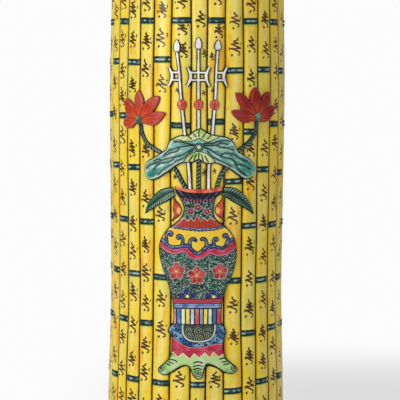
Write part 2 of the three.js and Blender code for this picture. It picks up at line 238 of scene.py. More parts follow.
def loft(points, wrap=False, **values):
    """Closed body from rings of points, with a face over each end ring, or none where the rings wrap."""
    rings, count = points.shape[:2]
    index = np.arange(rings * count).reshape(rings, count)
    after = np.roll(index, -1, axis=1)
    up = np.roll(index, -1, axis=0) if wrap else index[1:]
    up_after = np.roll(after, -1, axis=0) if wrap else after[1:]
    size = len(up)
    quads = np.stack([index[:size], after[:size], up_after, up], -1).reshape(-1, 4)
    ends = [] if wrap else [index[0, ::-1], index[-1]]
    flat = points.reshape(-1, 3)
    a, b, c, d = (flat[quads[:, corner]] for corner in range(4))
    volume = np.einsum("ij,ij->", a, np.cross(b, c)) + np.einsum("ij,ij->", a, np.cross(c, d))
    for end in ends:
        volume += np.einsum("ij,ij->", flat[end[1:-1]], np.cross(flat[end[2:]], flat[end[:1]]))
    if volume < 0:
        quads = quads[:, ::-1]
        ends = [end[::-1] for end in ends]
    kept = {name: np.broadcast_to(value, (rings, count)).ravel() for name, value in values.items()}
    return flat, quads, ends, kept


def in_order(values, shape, order, axis):
    """Values on a grid, taken in the order in which a body takes the grid's rows or columns."""
    return {name: np.broadcast_to(value, shape).take(order, axis) for name, value in values.items()}


def relief(s, z, face, **values):
    """Closed relief piece from its front grid, each row returning behind it."""
    columns = s.shape[1]
    back = np.linspace(columns - 1, 0, BACK_COLUMNS).astype(int)
    seat = roll(s[:, back], z[:, back], -RELIEF_SEAT)
    order = np.concatenate([np.arange(columns), back])
    return loft(np.concatenate([roll(s, z, face), seat], 1), **in_order(values, s.shape, order, 1))


def make_piece(name, bodies, material, replaces=()):
    """One object from closed bodies, riding on the pot in place of the nodes that it replaces."""
    starts = np.cumsum([0] + [len(body[0]) for body in bodies])
    points = np.concatenate([body[0] for body in bodies])
    quads = np.concatenate([body[1] + start for body, start in zip(bodies, starts)])
    ends = [end + start for body, start in zip(bodies, starts) for end in body[2]]
    corners = np.concatenate([quads.ravel()] + ends).astype(np.int32)
    sizes = np.concatenate([np.full(len(quads), 4), [len(end) for end in ends]]).astype(np.int32)
    firsts = np.concatenate([[0], np.cumsum(sizes)[:-1]]).astype(np.int32)
    mesh = bpy.data.meshes.new(name)
    mesh.vertices.add(len(points))
    mesh.vertices.foreach_set("co", points.astype(np.float32).ravel())
    mesh.loops.add(len(corners))
    mesh.loops.foreach_set("vertex_index", corners)
    mesh.polygons.add(len(sizes))
    mesh.polygons.foreach_set("loop_start", firsts)
    mesh.polygons.foreach_set("loop_total", sizes)
    mesh.polygons.foreach_set("use_smooth", np.arange(len(sizes)) < len(quads))
    for value in bodies[0][3]:
        layer = mesh.attributes.new(value, "FLOAT", "POINT")
        stored_values = np.concatenate([body[3][value] for body in bodies])
        layer.data.foreach_set("value", stored_values.astype(np.float32))
    mesh.update(calc_edges=True)
    mesh.materials.append(material)
    piece = bpy.data.objects.new(name, mesh)
    bpy.context.scene.collection.objects.link(piece)
    if replaces:
        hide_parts(*replaces)
    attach(piece, "root")


def make_relief(node, bodies, material):
    """The relief piece that takes the place of one node and has its name."""
    make_piece(node + "_relief", bodies, material, [node])


print("relief seats behind the crests in mm:", RELIEF_SEAT)


# %% [markdown]
# How the finishes are put together
#
# An enamel is a base colour with coats over it. A coat is laid where a stored distance is under its reach,
# with a soft and slightly unsteady edge, as a brush leaves it. Each recipe is a sum of fields, and a field
# becomes nodes when a material is made with it. The unsteady edge, the clouded colour and the rippled
# surface are the same everywhere, so each is a group of nodes that all the finishes share.

# %% Fields that become nodes
MM_PER_M = 1000.0


def rgb(red, green, blue):
    """Colour for a shader from the usual 0 to 255."""
    levels = np.array([red, green, blue]) / 255
    return (*np.where(levels > 0.04045, ((levels + 0.055) / 1.055) ** 2.4, levels / 12.92), 1.0)


class Field:
    """A number or colour over the surface: a node to be made, what feeds it, and which output is meant."""

    def __init__(self, kind, inputs=(), **settings):
        self.kind = kind
        self.inputs = dict(inputs)
        self.settings = settings
        self.node = self
        self.output = 0

    def __getitem__(self, output):
        other = copy.copy(self)
        other.output = output
        return other

    def make(self, tree, made):
        """The node in a tree, made once, with those that feed it. A tuple of three numbers is a colour."""
        if id(self.node) not in made:
            node = tree.nodes.new("ShaderNode" + self.kind)
            for name, setting in self.settings.items():
                setattr(node, name, setting)
            for name, value in self.inputs.items():
                if isinstance(value, Field):
                    tree.links.new(value.make(tree, made).outputs[value.output], node.inputs[name])
                else:
                    node.inputs[name].default_value = rgb(*value) if isinstance(value, tuple) else value
            made[id(self.node)] = node
        return made[id(self.node)]

    def math(self, operation, *others):
        return Field("Math", enumerate((self, *others)), operation=operation)

    def __add__(self, other):
        return self.math("ADD", other)

    def __sub__(self, other):
        return self.math("SUBTRACT", other)

    def __mul__(self, other):
        return self.math("MULTIPLY", other)

    def __neg__(self):
        return self * -1.0

    def __abs__(self):
        return self.math("ABSOLUTE")

    def sine(self):
        return self.math("SINE")

    def fade(self, low, high, start=0.0, end=1.0):
        """Smooth step from start to end as the value goes from low to high."""
        inputs = {"Value": self, "From Min": low, "From Max": high, "To Min": start, "To Max": end}
        return Field("MapRange", inputs, interpolation_type="SMOOTHSTEP")

    def mix(self, one, other):
        """Colour between two others, with this value as the share of the second."""
        return Field("Mix", {0: self, 6: one, 7: other}, data_type="RGBA")[2]

    def wash(self, share, colour):
        """This colour with a share of another in it."""
        return share.mix(self, colour)

    def coat(self, ink, distance, reach, blur=0.12, cover=1.0):
        """This colour with ink over it where a distance is under its reach."""
        return apply(coat, Under=self, Ink=ink, Distance=distance, Reach=reach, Blur=blur, Cover=cover)

    def coats(self, distance, blur, *inks):
        """This colour with several inks over it, each with its own reach, by one distance."""
        colour = self
        for ink, reach in inks:
            colour = colour.coat(ink, distance, reach, blur)
        return colour


def apply(group, **inputs):
    """What a shared effect puts out for some inputs."""
    return Field("Group", inputs, node_tree=group)


def stored(name):
    """A value that was worked out on a piece's grid."""
    return Field("Attribute", attribute_name=name)["Fac"]


print("middle grey for a shader:", round(rgb(128, 128, 128)[0], 3))


# %% Shared effects
SOCKET_KINDS = {"Colour": "Color", "Normal": "Vector"}
given = Field("GroupInput")
place = Field("TexCoord")["Object"]


def new_group(name, inputs, **outputs):
    """Node group with named inputs, each with its default, whose outputs are fields."""
    group = bpy.data.node_groups.new(name, "ShaderNodeTree")
    for socket, default in inputs.items():
        kind = "NodeSocketColor" if isinstance(default, tuple) else "NodeSocketFloat"
        group.interface.new_socket(socket, in_out="INPUT", socket_type=kind).default_value = default
    for socket in outputs:
        kind = "NodeSocket" + SOCKET_KINDS.get(socket, "Float")
        group.interface.new_socket(socket, in_out="OUTPUT", socket_type=kind)
    made = {id(given): group.nodes.new("NodeGroupInput")}
    result = group.nodes.new("NodeGroupOutput")
    for socket, field in outputs.items():
        group.links.new(field.make(group, made).outputs[field.output], result.inputs[socket])
    return group


stretch = Field("CombineXYZ", {"X": 1.0, "Y": 1.0, "Z": given["Stretch"]})
stretched = Field("VectorMath", {0: place, 1: stretch}, operation="MULTIPLY")
scale = given["Scale"] * MM_PER_M
noise = Field("TexNoise", {"Vector": stretched, "Scale": scale, "Detail": 2.0, "Roughness": 0.5})
cloud_group = new_group("Clouds", {"Scale": 1.0, "Stretch": 1.0}, Value=noise["Fac"])


def clouds(scale, stretch=1.0):
    """Soft noise from 0 to 1, with so many clouds to a millimetre, denser or longer up the pot."""
    return apply(cloud_group, Scale=scale, Stretch=stretch)


def clouded(one, other, scale, stretch=1.0, low=0.38, high=0.62):
    """Two colours that meet in soft clouds."""
    return clouds(scale, stretch).fade(low, high).mix(one, other)


axes = Field("SeparateXYZ", {0: place})
angle = axes["X"].math("ARCTAN2", -axes["Y"])
up = axes["Z"] * MM_PER_M - float(PATTERN_BASE)
on_wall = apply(new_group("Wall_place", {}, Across=angle * RELIEF_RADIUS, Up=up))
wall_s, wall_z = on_wall["Across"], on_wall["Up"]

coat_inputs = {
    "Under": (1, 1, 1, 1), "Ink": (0, 0, 0, 1), "Distance": 0.0, "Reach": 0.5, "Blur": 0.12, "Cover": 1.0,
}
wobble = (clouds(0.45) - 0.5) * 0.35
beyond = given["Distance"] + wobble - given["Reach"]
mask = beyond.fade(-given["Blur"], given["Blur"], 1.0, 0.0) * given["Cover"]
coat = new_group("Coat", coat_inputs, Colour=mask.mix(given["Under"], given["Ink"]))

bump = Field("Bump", {"Strength": given["Strength"], "Distance": 0.0006, "Height": clouds(0.35)})
ripple = new_group("Ripple", {"Strength": 0.1}, Normal=bump)

stipple = clouded((0, 54, 50), (6, 98, 70), 0.09, low=0.4)
for scale, ink, reach in ((0.5, (0, 6, 10), 0.07), (0.62, (204, 228, 216), 0.0125)):
    stipple = stipple.wash(abs(clouds(scale) - 0.5).fade(reach * 0.6, reach * 1.4, 1.0, 0.0), ink)
vermicelli = apply(new_group("Vermicelli", {}, Colour=stipple))

DARK = (16, 12, 10)


def shade(owner, output, surface):
    """A material or world whose node tree ends in a surface."""
    owner.use_nodes = True
    owner.node_tree.nodes.clear()
    Field(output, {"Surface": surface}).make(owner.node_tree, {})
    return owner


def glaze(name, colour, roughness=0.24, strength=0.12, specular=0.38):
    """Glazed material in a colour, with the shared ripple in its surface."""
    inputs = {"Base Color": colour, "Roughness": roughness, "Specular IOR Level": specular}
    inputs["Normal"] = apply(ripple, Strength=strength)
    return shade(bpy.data.materials.new(name), "OutputMaterial", Field("BsdfPrincipled", inputs))


print("shared effects:", [group.name for group in bpy.data.node_groups])

# %% [markdown]
# Bamboo stalks
#
# The mould gives each stalk a round back, a groove to its neighbours and two low lips at each node. The
# yellow is poured on over a painted outline, so it gathers amber towards the grooves. The cream on the
# crests is partly the yellow thinning there and partly a painted highlight. Each internode carries three
# brown flourishes, a leaning zigzag with ticks above, a hook and a dot, whose strokes are lines of points
# like all the rest. The rows lie closer where they are drawn.

# %% Flourishes
INTERNODE = 68
INTERNODE_SHARES = np.array([14.0, 34.5, 55.0]) / 69
FRONT_STALKS = (5, 6, 7)
FRONT_SPAN = (56, 268)
FRONT_MARKS = {
    3: [(171.5, 0.0, 0.95)],
    4: [(129.5, -1.0, 0.9)],
    5: [(250.5, 1.2, 0.85), (236, 2.2, 0.85), (210, -2.4, 0.3), (154, -3.4, 0.3)],
    6: [(256, 0.6, 0.95), (234, 3.2, 0.45), (208.5, 3.0, 0.3), (157, 3.4, 0.4)],
    7: [(249, 1.6, 0.85), (232, -3.0, 0.45), (210, -2.4, 0.35), (158, -1.0, 0.35)],
    8: [(183.5, 0.0, 0.9), (128.5, -0.4, 0.98)],
}
COVERED = [
    (-39, 199, 18, 14), (40, 201, 19, 14), (-20, 164, 15, 10), (25, 164, 15, 10), (1, 104, 31, 26),
    (-27, 142, 9, 12), (33, 141, 9, 12), (-23, 28, 9, 7), (27, 28, 9, 7), (-36, 169, 4, 13), (25, 190, 4, 6),
    (-24, 125, 4, 5),
]


def flourish(random, wide):
    """Strokes of a flourish round its centre, each with its extra weight: a zigzag that widens as it comes
    down, with heavier legs to the right, a hook at its end, a tick on top, touches beside it and a dot."""
    turns = random.choice([6, 6, 7, 8])
    share = np.linspace(0, 1, turns)
    reach = np.interp(share, [0, 0.35, 0.7, 1], [0.3, 0.7, 1.1, 0.8]) * random.uniform(0.7, 1.15, turns)
    s = np.where((np.arange(turns) - turns) % 2, 1, -1) * reach * wide + 0.15 * wide * random.uniform(-1, 1)
    z = 4.2 - 7.0 * share - random.uniform(0.05, 0.4) * s + random.uniform(-0.25, 0.25, turns)
    knots = np.stack([s, z], -1)
    end = knots[-1]
    hook = smooth([end, end + [0.5, -0.7], end + [0.3, -1.5], end + [-0.7, -2.0]], 12)
    tick = [knots[0], knots[0] + [random.uniform(-0.3, 0.5), random.uniform(0.6, 1.2)]]
    legs = [(knots[turn : turn + 2], 0.12) for turn in range(turns % 2, turns - 1, 2)]
    beside = [(1.15 * wide, random.uniform(0.4, 1.4)), (1.25 * wide, random.uniform(1.8, 2.8))]
    touch = [(-1.15 * wide, random.uniform(-1.6, -0.4)), (-1.1 * wide, random.uniform(-2.4, -1.8))]
    dot = np.array([(0, 0), (0.15, 0.25)]) + [random.uniform(-0.9, -0.3) * wide, random.uniform(-5.8, -5.0)]
    strokes = [(smooth(knots, 44), -0.04), (hook, 0.04), (tick, 0.14)]
    return strokes + legs + [(beside, -0.06), (touch, -0.02), (dot, 0.34)]


def behind_relief(s, z):
    """Whether a place lies behind the relief, in one of the ellipses round its pieces."""
    return any(((s - cs) / wide) ** 2 + ((z - cz) / high) ** 2 < 1 for cs, cz, wide, high in COVERED)


def flourish_places(index, nodes, random):
    """Height, place across and size of each flourish: those listed for the stalk, then three to an
    internode, but none of these behind the relief, or on the front stalks in the span of the relief."""
    places = list(FRONT_MARKS.get(index, []))
    ends = np.concatenate([[nodes[0] - INTERNODE], nodes, [nodes[-1] + INTERNODE]])
    for low, high in zip(ends[:-1], ends[1:]):
        for share in INTERNODE_SHARES:
            height = low + share * (high - low) + random.uniform(-2, 2)
            size = random.uniform(0.9, 1.08)
            place = random.uniform(-0.3, 0.3)
            front = index in FRONT_STALKS and FRONT_SPAN[0] < height < FRONT_SPAN[1]
            if not front and not behind_relief(stalk_middles[index] * RELIEF_RADIUS + place, height):
                places.append((height, place, size))
    return places


print("places listed by hand:", sum(len(marks) for marks in FRONT_MARKS.values()))

# %% Stalks
GROOVE_DEPTH = 1.4
SECTION_POWER = 3.4
STALK_COLUMNS = 29
STALK_GAP = 0.998
NODE_RISE = 0.42
LIP_PLACE = 1.15
LIP_WIDTH = 0.8
END_ROUNDING = 0.9
END_LEVELS = np.array([0, 0.15, 0.4, 0.75])
END_SPAN = 1.1
FINE_STEP = 0.42
COARSE_STEPS = 4
MARK_SPAN = 6.6
NODE_SPAN = 3.2
NO_MARK = 2.0


def groove_angle(number, z):
    """Angle of a groove at each height, which strays a little as the mould was cut by hand."""
    number = number % len(stalk_middles)
    stray = 0.22 * np.sin(z / 31 + 2.3 * number) + 0.16 * np.sin(z / 11.3 + 4.1 * number)
    return stalk_edges[number] + stray / RELIEF_RADIUS


def stalk_levels(nodes, marks):
    """Heights of a stalk's rings, close together near its ends, its nodes and its marks."""
    levels = np.arange(STALK_FOOT + END_SPAN, STALK_TOP - END_SPAN, FINE_STEP)
    to_mark = np.abs(levels[:, None] - PATTERN_BASE - [mark[0] for mark in marks]).min(1)
    to_node = np.abs(levels[:, None] - PATTERN_BASE - nodes).min(1)
    coarse = np.arange(len(levels)) % COARSE_STEPS == 0
    levels = levels[(to_mark < MARK_SPAN) | (to_node < NODE_SPAN) | coarse]
    return np.concatenate([STALK_FOOT + END_LEVELS, levels, STALK_TOP - END_LEVELS[::-1]])[:, None]


def to_marks(s, z, marks, wide, random):
    """Distance to the strokes of a stalk's marks, less for a heavier stroke and more for a small mark."""
    best = np.full(z.shape, NO_MARK)
    for height, place, size in marks:
        rows = np.abs(z[:, 0] - height) < MARK_SPAN
        thin = 0.4 * max(0, 0.8 - size)
        for stroke, weight in flourish(random, wide) if rows.any() else []:
            stroke = np.array(stroke) * size + [place, height]
            best[rows] = np.minimum(best[rows], to_line(s[rows], z[rows], stroke) - size * weight + thin)
    return best


def stalk_body(index):
    """A stalk: its crest falls to the grooves as a power of the place across, and rounds off at both ends.
    Two lips stand out at each node, each a bell curve of the height over the node."""
    nodes = stalk_nodes(index)
    random = np.random.default_rng(100 + index)
    marks = flourish_places(index, nodes, random)
    share = np.linspace(-1, 1, STALK_COLUMNS)
    across = 1.14 * share - 0.14 * share**3
    levels = stalk_levels(nodes, marks)
    z = np.broadcast_to(levels, (len(levels), len(across)))
    first, last = groove_angle(index, levels), groove_angle(index + 1, levels)
    last = np.where(last < first, last + 2 * np.pi, last)
    middle, half = (first + last) / 2, (last - first) / 2
    tilt = random.uniform(-0.25, 0.25, len(nodes))
    offsets = z[..., None] - PATTERN_BASE - nodes - tilt * across[:, None]
    nearest = np.take_along_axis(offsets, np.abs(offsets).argmin(-1)[..., None], -1)[..., 0]
    lips = NODE_RISE * (dent(nearest - LIP_PLACE, LIP_WIDTH) + dent(nearest + LIP_PLACE, LIP_WIDTH))
    rounding = swell(np.minimum(levels - STALK_FOOT, STALK_TOP - levels), -END_ROUNDING, 0, END_ROUNDING)
    h = lips * (1 - across**4) - GROOVE_DEPTH * np.abs(across) ** SECTION_POWER + rounding
    angle = middle + across * half * STALK_GAP
    wide = 0.5 * stalk_halves[index] * RELIEF_RADIUS
    values = {
        "crest": 1 - np.abs(across),
        "groove": (1 - np.abs(across)) * half * RELIEF_RADIUS,
        "gap": np.abs(nearest),
        "side": np.clip(nearest, -4, 4),
        "mark": to_marks((angle - middle) * RELIEF_RADIUS, z - PATTERN_BASE, marks, wide, random),
        "seed": random.uniform(),
    }
    front = around(crest_radius(z) + h, angle, z)
    back = around(STALK_BACK, middle + np.array([1, 0, -1]) * half * STALK_GAP, levels)
    order = [*range(STALK_COLUMNS), -1, STALK_COLUMNS // 2, 0]
    return loft(np.concatenate([front, back], 1), **in_order(values, z.shape, order, 1))


# The crests get a cream wash, partly the yellow thinning there and partly a painted highlight.
pale = stored("crest").fade(0.3, 0.9) * clouds(0.16, 0.35)
gap = stored("gap")
bleed = stored("side").fade(-0.6, -1.6) * 0.75
# The pale broken middle of each node band is partly thin green enamel and partly a painted highlight.
shine = clouds(0.27).fade(0.45, 0.6).mix((16, 78, 64), (160, 192, 190))
bamboo = glaze(
    "Bamboo_enamel",
    clouded((236, 204, 34), (230, 208, 80), 0.09, 0.3)
    .wash(clouds(0.13, 0.22).fade(0.54, 0.68, 0.0, 0.85), (234, 172, 16))
    .wash(pale.fade(0.24, 0.6, 0.0, 0.7), (236, 218, 132))
    .wash(clouds(0.06, 0.6).fade(0.52, 0.7, 0.0, 0.55), (200, 200, 92))
    .wash(clouds(0.31, 0.5).fade(0.6, 0.7, 0.0, 0.45), (222, 138, 58))
    .wash(stored("groove").fade(0.6, 1.9, 0.4, 0.0), (186, 138, 16))
    .coat(stored("seed").mix((44, 12, 2), (74, 30, 6)), stored("mark"), 0.45, 0.15, 0.97)
    .coat((104, 156, 50), gap, 2.6, 0.5, bleed)
    .coat((6, 32, 30), gap, 2.05, 0.2)
    .coat(shine, gap, 0.6, 0.4, 0.9)
    .coat((52, 26, 12), stored("groove"), 0.6, 0.2),
    0.25, 0.15, 0.3,
)

for index in range(len(stalk_middles)):
    name = f"stalk_{index + 1:02d}"
    make_piece("bamboo_" + name, [stalk_body(index)], bamboo, [name])
print("stalk pieces:", len(stalk_middles))

# %% [markdown]
# The pot inside
#
# The wall behind the stalks is thrown and turned, so its pieces are rings with softly rounded edges. Inside
# it is covered with a clear white glaze, and the foot ring is left bare where the pot stood in the kiln.

# %% Turned pieces
SIDES = 128
FOOT_WIDTH = 9.7
FLOOR_GAP = 0.3
FLOOR_PORE = 0.5


def turned(outline, wrap=True):
    """Ring turned about the axis from a closed outline of radius and height."""
    outline = np.array(outline, float)
    angle = np.linspace(0, 2 * np.pi, SIDES, endpoint=False)
    return loft(around(outline[:, :1], angle[None], outline[:, 1:]), wrap=wrap)


def soft_ring(inner, outer, base, top, soft):
    """Closed outline of a ring's section with its corners cut to a soft round."""
    corners = [(inner, base, 1, 1), (outer, base, -1, 1), (outer, top, -1, -1), (inner, top, 1, -1)]
    outline = []
    for turn, (radius, z, right, up) in enumerate(corners):
        bend = np.radians(np.array([0, 30, 60, 90]) + 90 * turn)
        centre = (radius + right * soft, z + up * soft)
        outline += [(centre[0] - soft * math.cos(a), centre[1] - soft * math.sin(a)) for a in bend]
    return outline


white_glaze = glaze("White_glaze", clouded((236, 240, 236), (226, 232, 226), 0.03), 0.16, 0.08)
bare_foot = glaze("Bare_foot", clouded((222, 208, 184), (198, 176, 146), 0.12), 0.75, 0.3, 0.2)

rim_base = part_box("mouth_rim")[0].z / MM
wall = turned(soft_ring(BORE_RADIUS, TUBE_RADIUS, FOOT_TOP, rim_base, 0.05))
rim = turned(soft_ring(BORE_RADIUS, TUBE_RADIUS, rim_base, POT_TOP, 0.8))
foot = turned(soft_ring(TUBE_RADIUS - FOOT_WIDTH, TUBE_RADIUS, 0, FOOT_TOP, 0.9))
floor_radius = BORE_RADIUS - FLOOR_GAP
disc = [(FLOOR_PORE, FOOT_TOP), (floor_radius, FOOT_TOP), (floor_radius, FLOOR_TOP), (FLOOR_PORE, FLOOR_TOP)]
make_piece("glazed_wall", [wall], white_glaze, ["inner_wall"])
make_piece("glazed_rim", [rim], white_glaze, ["mouth_rim"])
make_piece("bare_foot_ring", [foot], bare_foot, ["foot_ring"])
make_piece("glazed_floor", [turned(disc, wrap=False)], white_glaze, ["pot_floor"])
print("turned pieces, sides:", SIDES)

# %% [markdown]
# The vase
#
# The vase is drawn first and filled after. Its left and right outlines are curves, and each of its parts
# is a grid between them whose lower and upper ends sag a little, as rings round a real vase do when seen
# from above. The bands, the scroll, the lappets and the flowers are kept as distances, and the finishes
# ink them in turn.

# %% Outlines of the vase
VASE_RELIEF = 1.8
EDGE_RELIEF = 0.5
GRID_STEP = 0.36
GRID_COLUMNS = 121
OUTLINE_INK = (DARK, stored("edge"), 0.95, 0.15)
VASE_LEFT = [
    (-16.2, 36), (-16.2, 44), (-16.3, 49.7), (-18.4, 51.6), (-18.8, 54), (-16.1, 57.7), (-15.4, 58.8),
    (-15, 62.6), (-15.5, 69.2), (-16.3, 75.3), (-19.4, 85.3), (-23.5, 96.1), (-25.5, 105.6), (-24.4, 112.5),
    (-21.6, 117.3), (-18.1, 121.3), (-14.2, 124), (-10.2, 127.7), (-8.6, 132.1), (-8.7, 135), (-10.7, 139.4),
    (-13.6, 143.7), (-14.9, 148.6),
]
VASE_RIGHT = [
    (18.4, 36), (18.3, 45), (19.5, 49.3), (20.3, 52.8), (18.2, 57.3), (17.1, 58.8), (17, 62.7), (17.3, 69.3),
    (18.4, 75.4), (21.3, 83.2), (24.5, 89.4), (27.2, 98.3), (27.7, 104.9), (26.3, 112.8), (22.6, 118.6),
    (18, 122.9), (13.8, 125.8), (11.6, 128.8), (11.2, 133.4), (12.6, 140.2), (16.6, 143.4), (17.9, 148),
]

left_line = smooth(VASE_LEFT, 90)
right_line = smooth(VASE_RIGHT, 90)


def vase_grid(low, high, low_sag, high_sag):
    """Grid over the vase between two levels, the sag being how far each end dips at the middle."""
    across = np.linspace(-1, 1, GRID_COLUMNS)
    bottom = low - low_sag * (1 - across**2)
    top = high - high_sag * (1 - across**2)
    share = np.linspace(0, 1, int((high - low) / GRID_STEP))[:, None]
    z = bottom + (top - bottom) * share
    left = np.interp(z, left_line[:, 1], left_line[:, 0])
    right = np.interp(z, right_line[:, 1], right_line[:, 0])
    s = (left + right) / 2 + across * (right - left) / 2
    edge = to_lines(s, z, [left_line, right_line])
    return s, z, edge, swell(edge, EDGE_RELIEF, VASE_RELIEF, 3)


print("widest of the vase in mm:", round(right_line[:, 0].max() - left_line[:, 0].min(), 1))


# %% Neck
LIP_LINE = [(-15, 146.6), (-10.3, 145.1), (-5.6, 143.9), (1.6, 143.4), (9.3, 143.8), (18, 145.3)]
COLLAR_LINE = [(-15, 141), (-10.3, 140.3), (-1.3, 139.5), (5.1, 139.6), (12, 140.2), (17, 141)]
DOT_LINE = [(-12, 138.8), (-9, 138.4), (1.7, 137.5), (11.5, 138.2), (15, 138.6)]
LAPPET_TIPS = [
    (-18, 125), (-10.5, 126), (-7.6, 127), (-5.6, 125), (-3.4, 127.2), (-1.6, 125), (0.4, 129), (2.6, 125.2),
    (4.6, 127.3), (6.8, 125.4), (9, 127.4), (11.4, 125.8), (14, 126.2), (19, 125),
]
NECK_FLOWERS = [(-3.8, 131.7), (0.9, 134.4), (6.6, 131.7)]

s, z, edge, face = vase_grid(122.9, 147.8, 2.1, 2.3)
neck = relief(
    s, z, face, edge=edge, lip=above(s, z, LIP_LINE), collar=above(s, z, COLLAR_LINE),
    dots=above(s, z, DOT_LINE), lappet=above(s, z, LAPPET_TIPS), floweret=to_points(s, z, NECK_FLOWERS),
)

red = abs((wall_s * 1.55).sine()).fade(0.15, 0.6).mix((118, 30, 20), (180, 58, 34))
blossom = clouded((178, 52, 66), (120, 30, 40), 0.3)
beading = (wall_s * 3.1).sine().fade(-0.1, 0.8).mix((58, 16, 40), (164, 86, 116))
slant = ((abs(wall_s - 1.5) - wall_z) * 1.7).sine()
thin_line = slant.fade(0.93, 1.0) * clouds(0.2).fade(0.4, 0.6, 0.2)
navy = clouded((12, 14, 58), (4, 4, 20), 0.12).wash(thin_line, (160, 170, 190))
floweret_inks = [((196, 204, 190), 2.2), (DARK, 2.0), (blossom, 1.6), ((210, 140, 130), 0.4)]
neck_enamel = glaze(
    "Vase_neck",
    vermicelli.coats(stored("lappet"), 0.25, ((226, 200, 170), 0.5), (red, 0.1))
    .coats(stored("floweret"), 0.3, *floweret_inks)
    .coat(beading, -stored("dots"), 0.0)
    .coat(navy, -stored("collar"), 0.0)
    .coat(DARK, -stored("lip"), 0.25, 0.15)
    .coat(clouded((226, 124, 92), (190, 58, 44), 0.2), -stored("lip"), -0.2, 0.2)
    .coat(*OUTLINE_INK),
)
make_relief("vase_neck", [neck], neck_enamel)

# %% Belly
RING_TOP = [(-17.5, 123.1), (-7.6, 121.6), (1.8, 120.9), (11.6, 121.4), (19, 123)]
RING_LOW = [
    (-19, 121.2), (-16.4, 121.0), (-7.6, 119.8), (1.8, 118.9), (11.6, 119.6), (17.8, 121.1), (20, 121.4),
]
PINK_TOP = [
    (-26, 112.6), (-24.1, 111.4), (-20.8, 110.2), (-18.5, 108.1), (-16.3, 106.9), (-13.2, 106.5),
    (-9.7, 107.7), (-5, 107.6), (-2.4, 105.5), (0.6, 103.5), (3.1, 104.6), (6.5, 107.7), (9.5, 106.9),
    (12.1, 107.6), (14.8, 106.7), (17.9, 106.6), (20.1, 109.1), (22.9, 111.2), (28, 113),
]
PINK_LOW = [
    (-26, 110.6), (-22.7, 107.7), (-19.4, 105), (-16.3, 103.8), (-12.7, 103.7), (-9.3, 105), (-7.6, 105.1),
    (-5.4, 102.7), (-2.4, 100.8), (0.6, 100.2), (3.6, 100.9), (6.6, 102.6), (9.1, 104.2), (12.2, 103),
    (15.7, 102.5), (19.3, 103.3), (22.9, 105), (25.8, 107.2), (28.5, 110.4),
]
SCROLL_LINES = [
    [(-25, 113.4), (-23.6, 113.6), (-21.3, 111.9), (-19, 109.9), (-16.3, 108.4), (-13.2, 108.2),
     (-9.8, 108.8), (-7, 109.1), (-5, 108.9), (-3.7, 107.6), (-1.6, 105.5), (1, 104.3), (3.1, 105.5),
     (5.2, 107.7),
     (7.4, 108.8), (12.1, 108.7), (14.8, 107.9), (17.4, 107.8), (19.7, 109.6), (21, 112.2), (23.8, 113.2),
     (26.6, 113.4)],
    [(-19.2, 111.6), (-19.6, 114.6), (-18.9, 117.2), (-17.2, 118), (-15.9, 117.1), (-16.6, 116)],
    [(-9.3, 108.8), (-8.7, 112.3), (-9.4, 114.8), (-11, 115.8), (-12.1, 114.9), (-11.6, 114.1)],
    [(-3.9, 107.8), (-4.3, 111), (-3.3, 113.4), (-1.6, 113.9), (-0.5, 112.9)],
    [(5.6, 107), (6.5, 110.3), (6, 112.9), (4.6, 114), (3.4, 113.6)],
    [(11.8, 108.9), (11, 111.5), (11.6, 113.6), (13, 114), (13.2, 113)],
    [(18.7, 108.5), (20.2, 111.8), (20.5, 114.4), (19.3, 116.4), (17.8, 116), (18.3, 115.1)],
]
WEB_CORNERS = [(-22.4, 112.4), (-7.2, 109.4), (9.2, 109.2), (23.6, 112.6)]
WEB_REACH = 2.6
BODY_FLOWERS = [(-12.9, 92.4, 5.6), (0.3, 89.9, 5.8), (15.4, 92.3, 5.2)]
BLUE_PETALS = [(-9.1, 76.6), (-6.3, 79.6), (-1.9, 76.6), (8, 76.4), (11.5, 78.6), (14.6, 76.6)]
BLUE_HEARTS = [(-5.6, 76.2), (11.4, 75.9)]
PETAL_TURN = np.radians(72)


def flower_values(s, z, centres):
    """Distance past an outline of five petals, whose radius falls from each tip to the seams beside it as
    the cosine of the turn between them, then the distance to the centre, to the seams, and the bearing."""
    best = [np.full(s.shape, FAR)] * 4
    for cs, cz, size in centres:
        away = np.hypot(s - cs, z - cz)
        bearing = np.arctan2(s - cs, z - cz)
        turn = (bearing / PETAL_TURN + 0.5) % 1 - 0.5
        outline = size * (0.6 + 0.42 * np.cos(np.pi * np.abs(turn)) ** 0.8)
        seam = away * PETAL_TURN * (0.5 - np.abs(turn))
        values = [away - outline, away, seam, bearing]
        closer = values[1] < best[1]
        best = [np.where(closer, new, old) for new, old in zip(values, best)]
    return best


s, z, edge, face = vase_grid(75.3, 122.85, 0.6, 2.1)
petal, heart, seam, bearing = flower_values(s, z, BODY_FLOWERS)
belly = relief(
    s, z, face, edge=edge, ring=above(s, z, RING_TOP), under_ring=above(s, z, RING_LOW),
    scroll=to_lines(s, z, [smooth(line, 60) for line in SCROLL_LINES]), web=to_points(s, z, WEB_CORNERS),
    pink_top=above(s, z, smooth(PINK_TOP, 90)), pink_low=above(s, z, smooth(PINK_LOW, 90)),
    petal=petal, heart=heart, seam=seam, bearing=bearing,
    blue=to_points(s, z, BLUE_PETALS), blue_heart=to_points(s, z, BLUE_HEARTS),
)

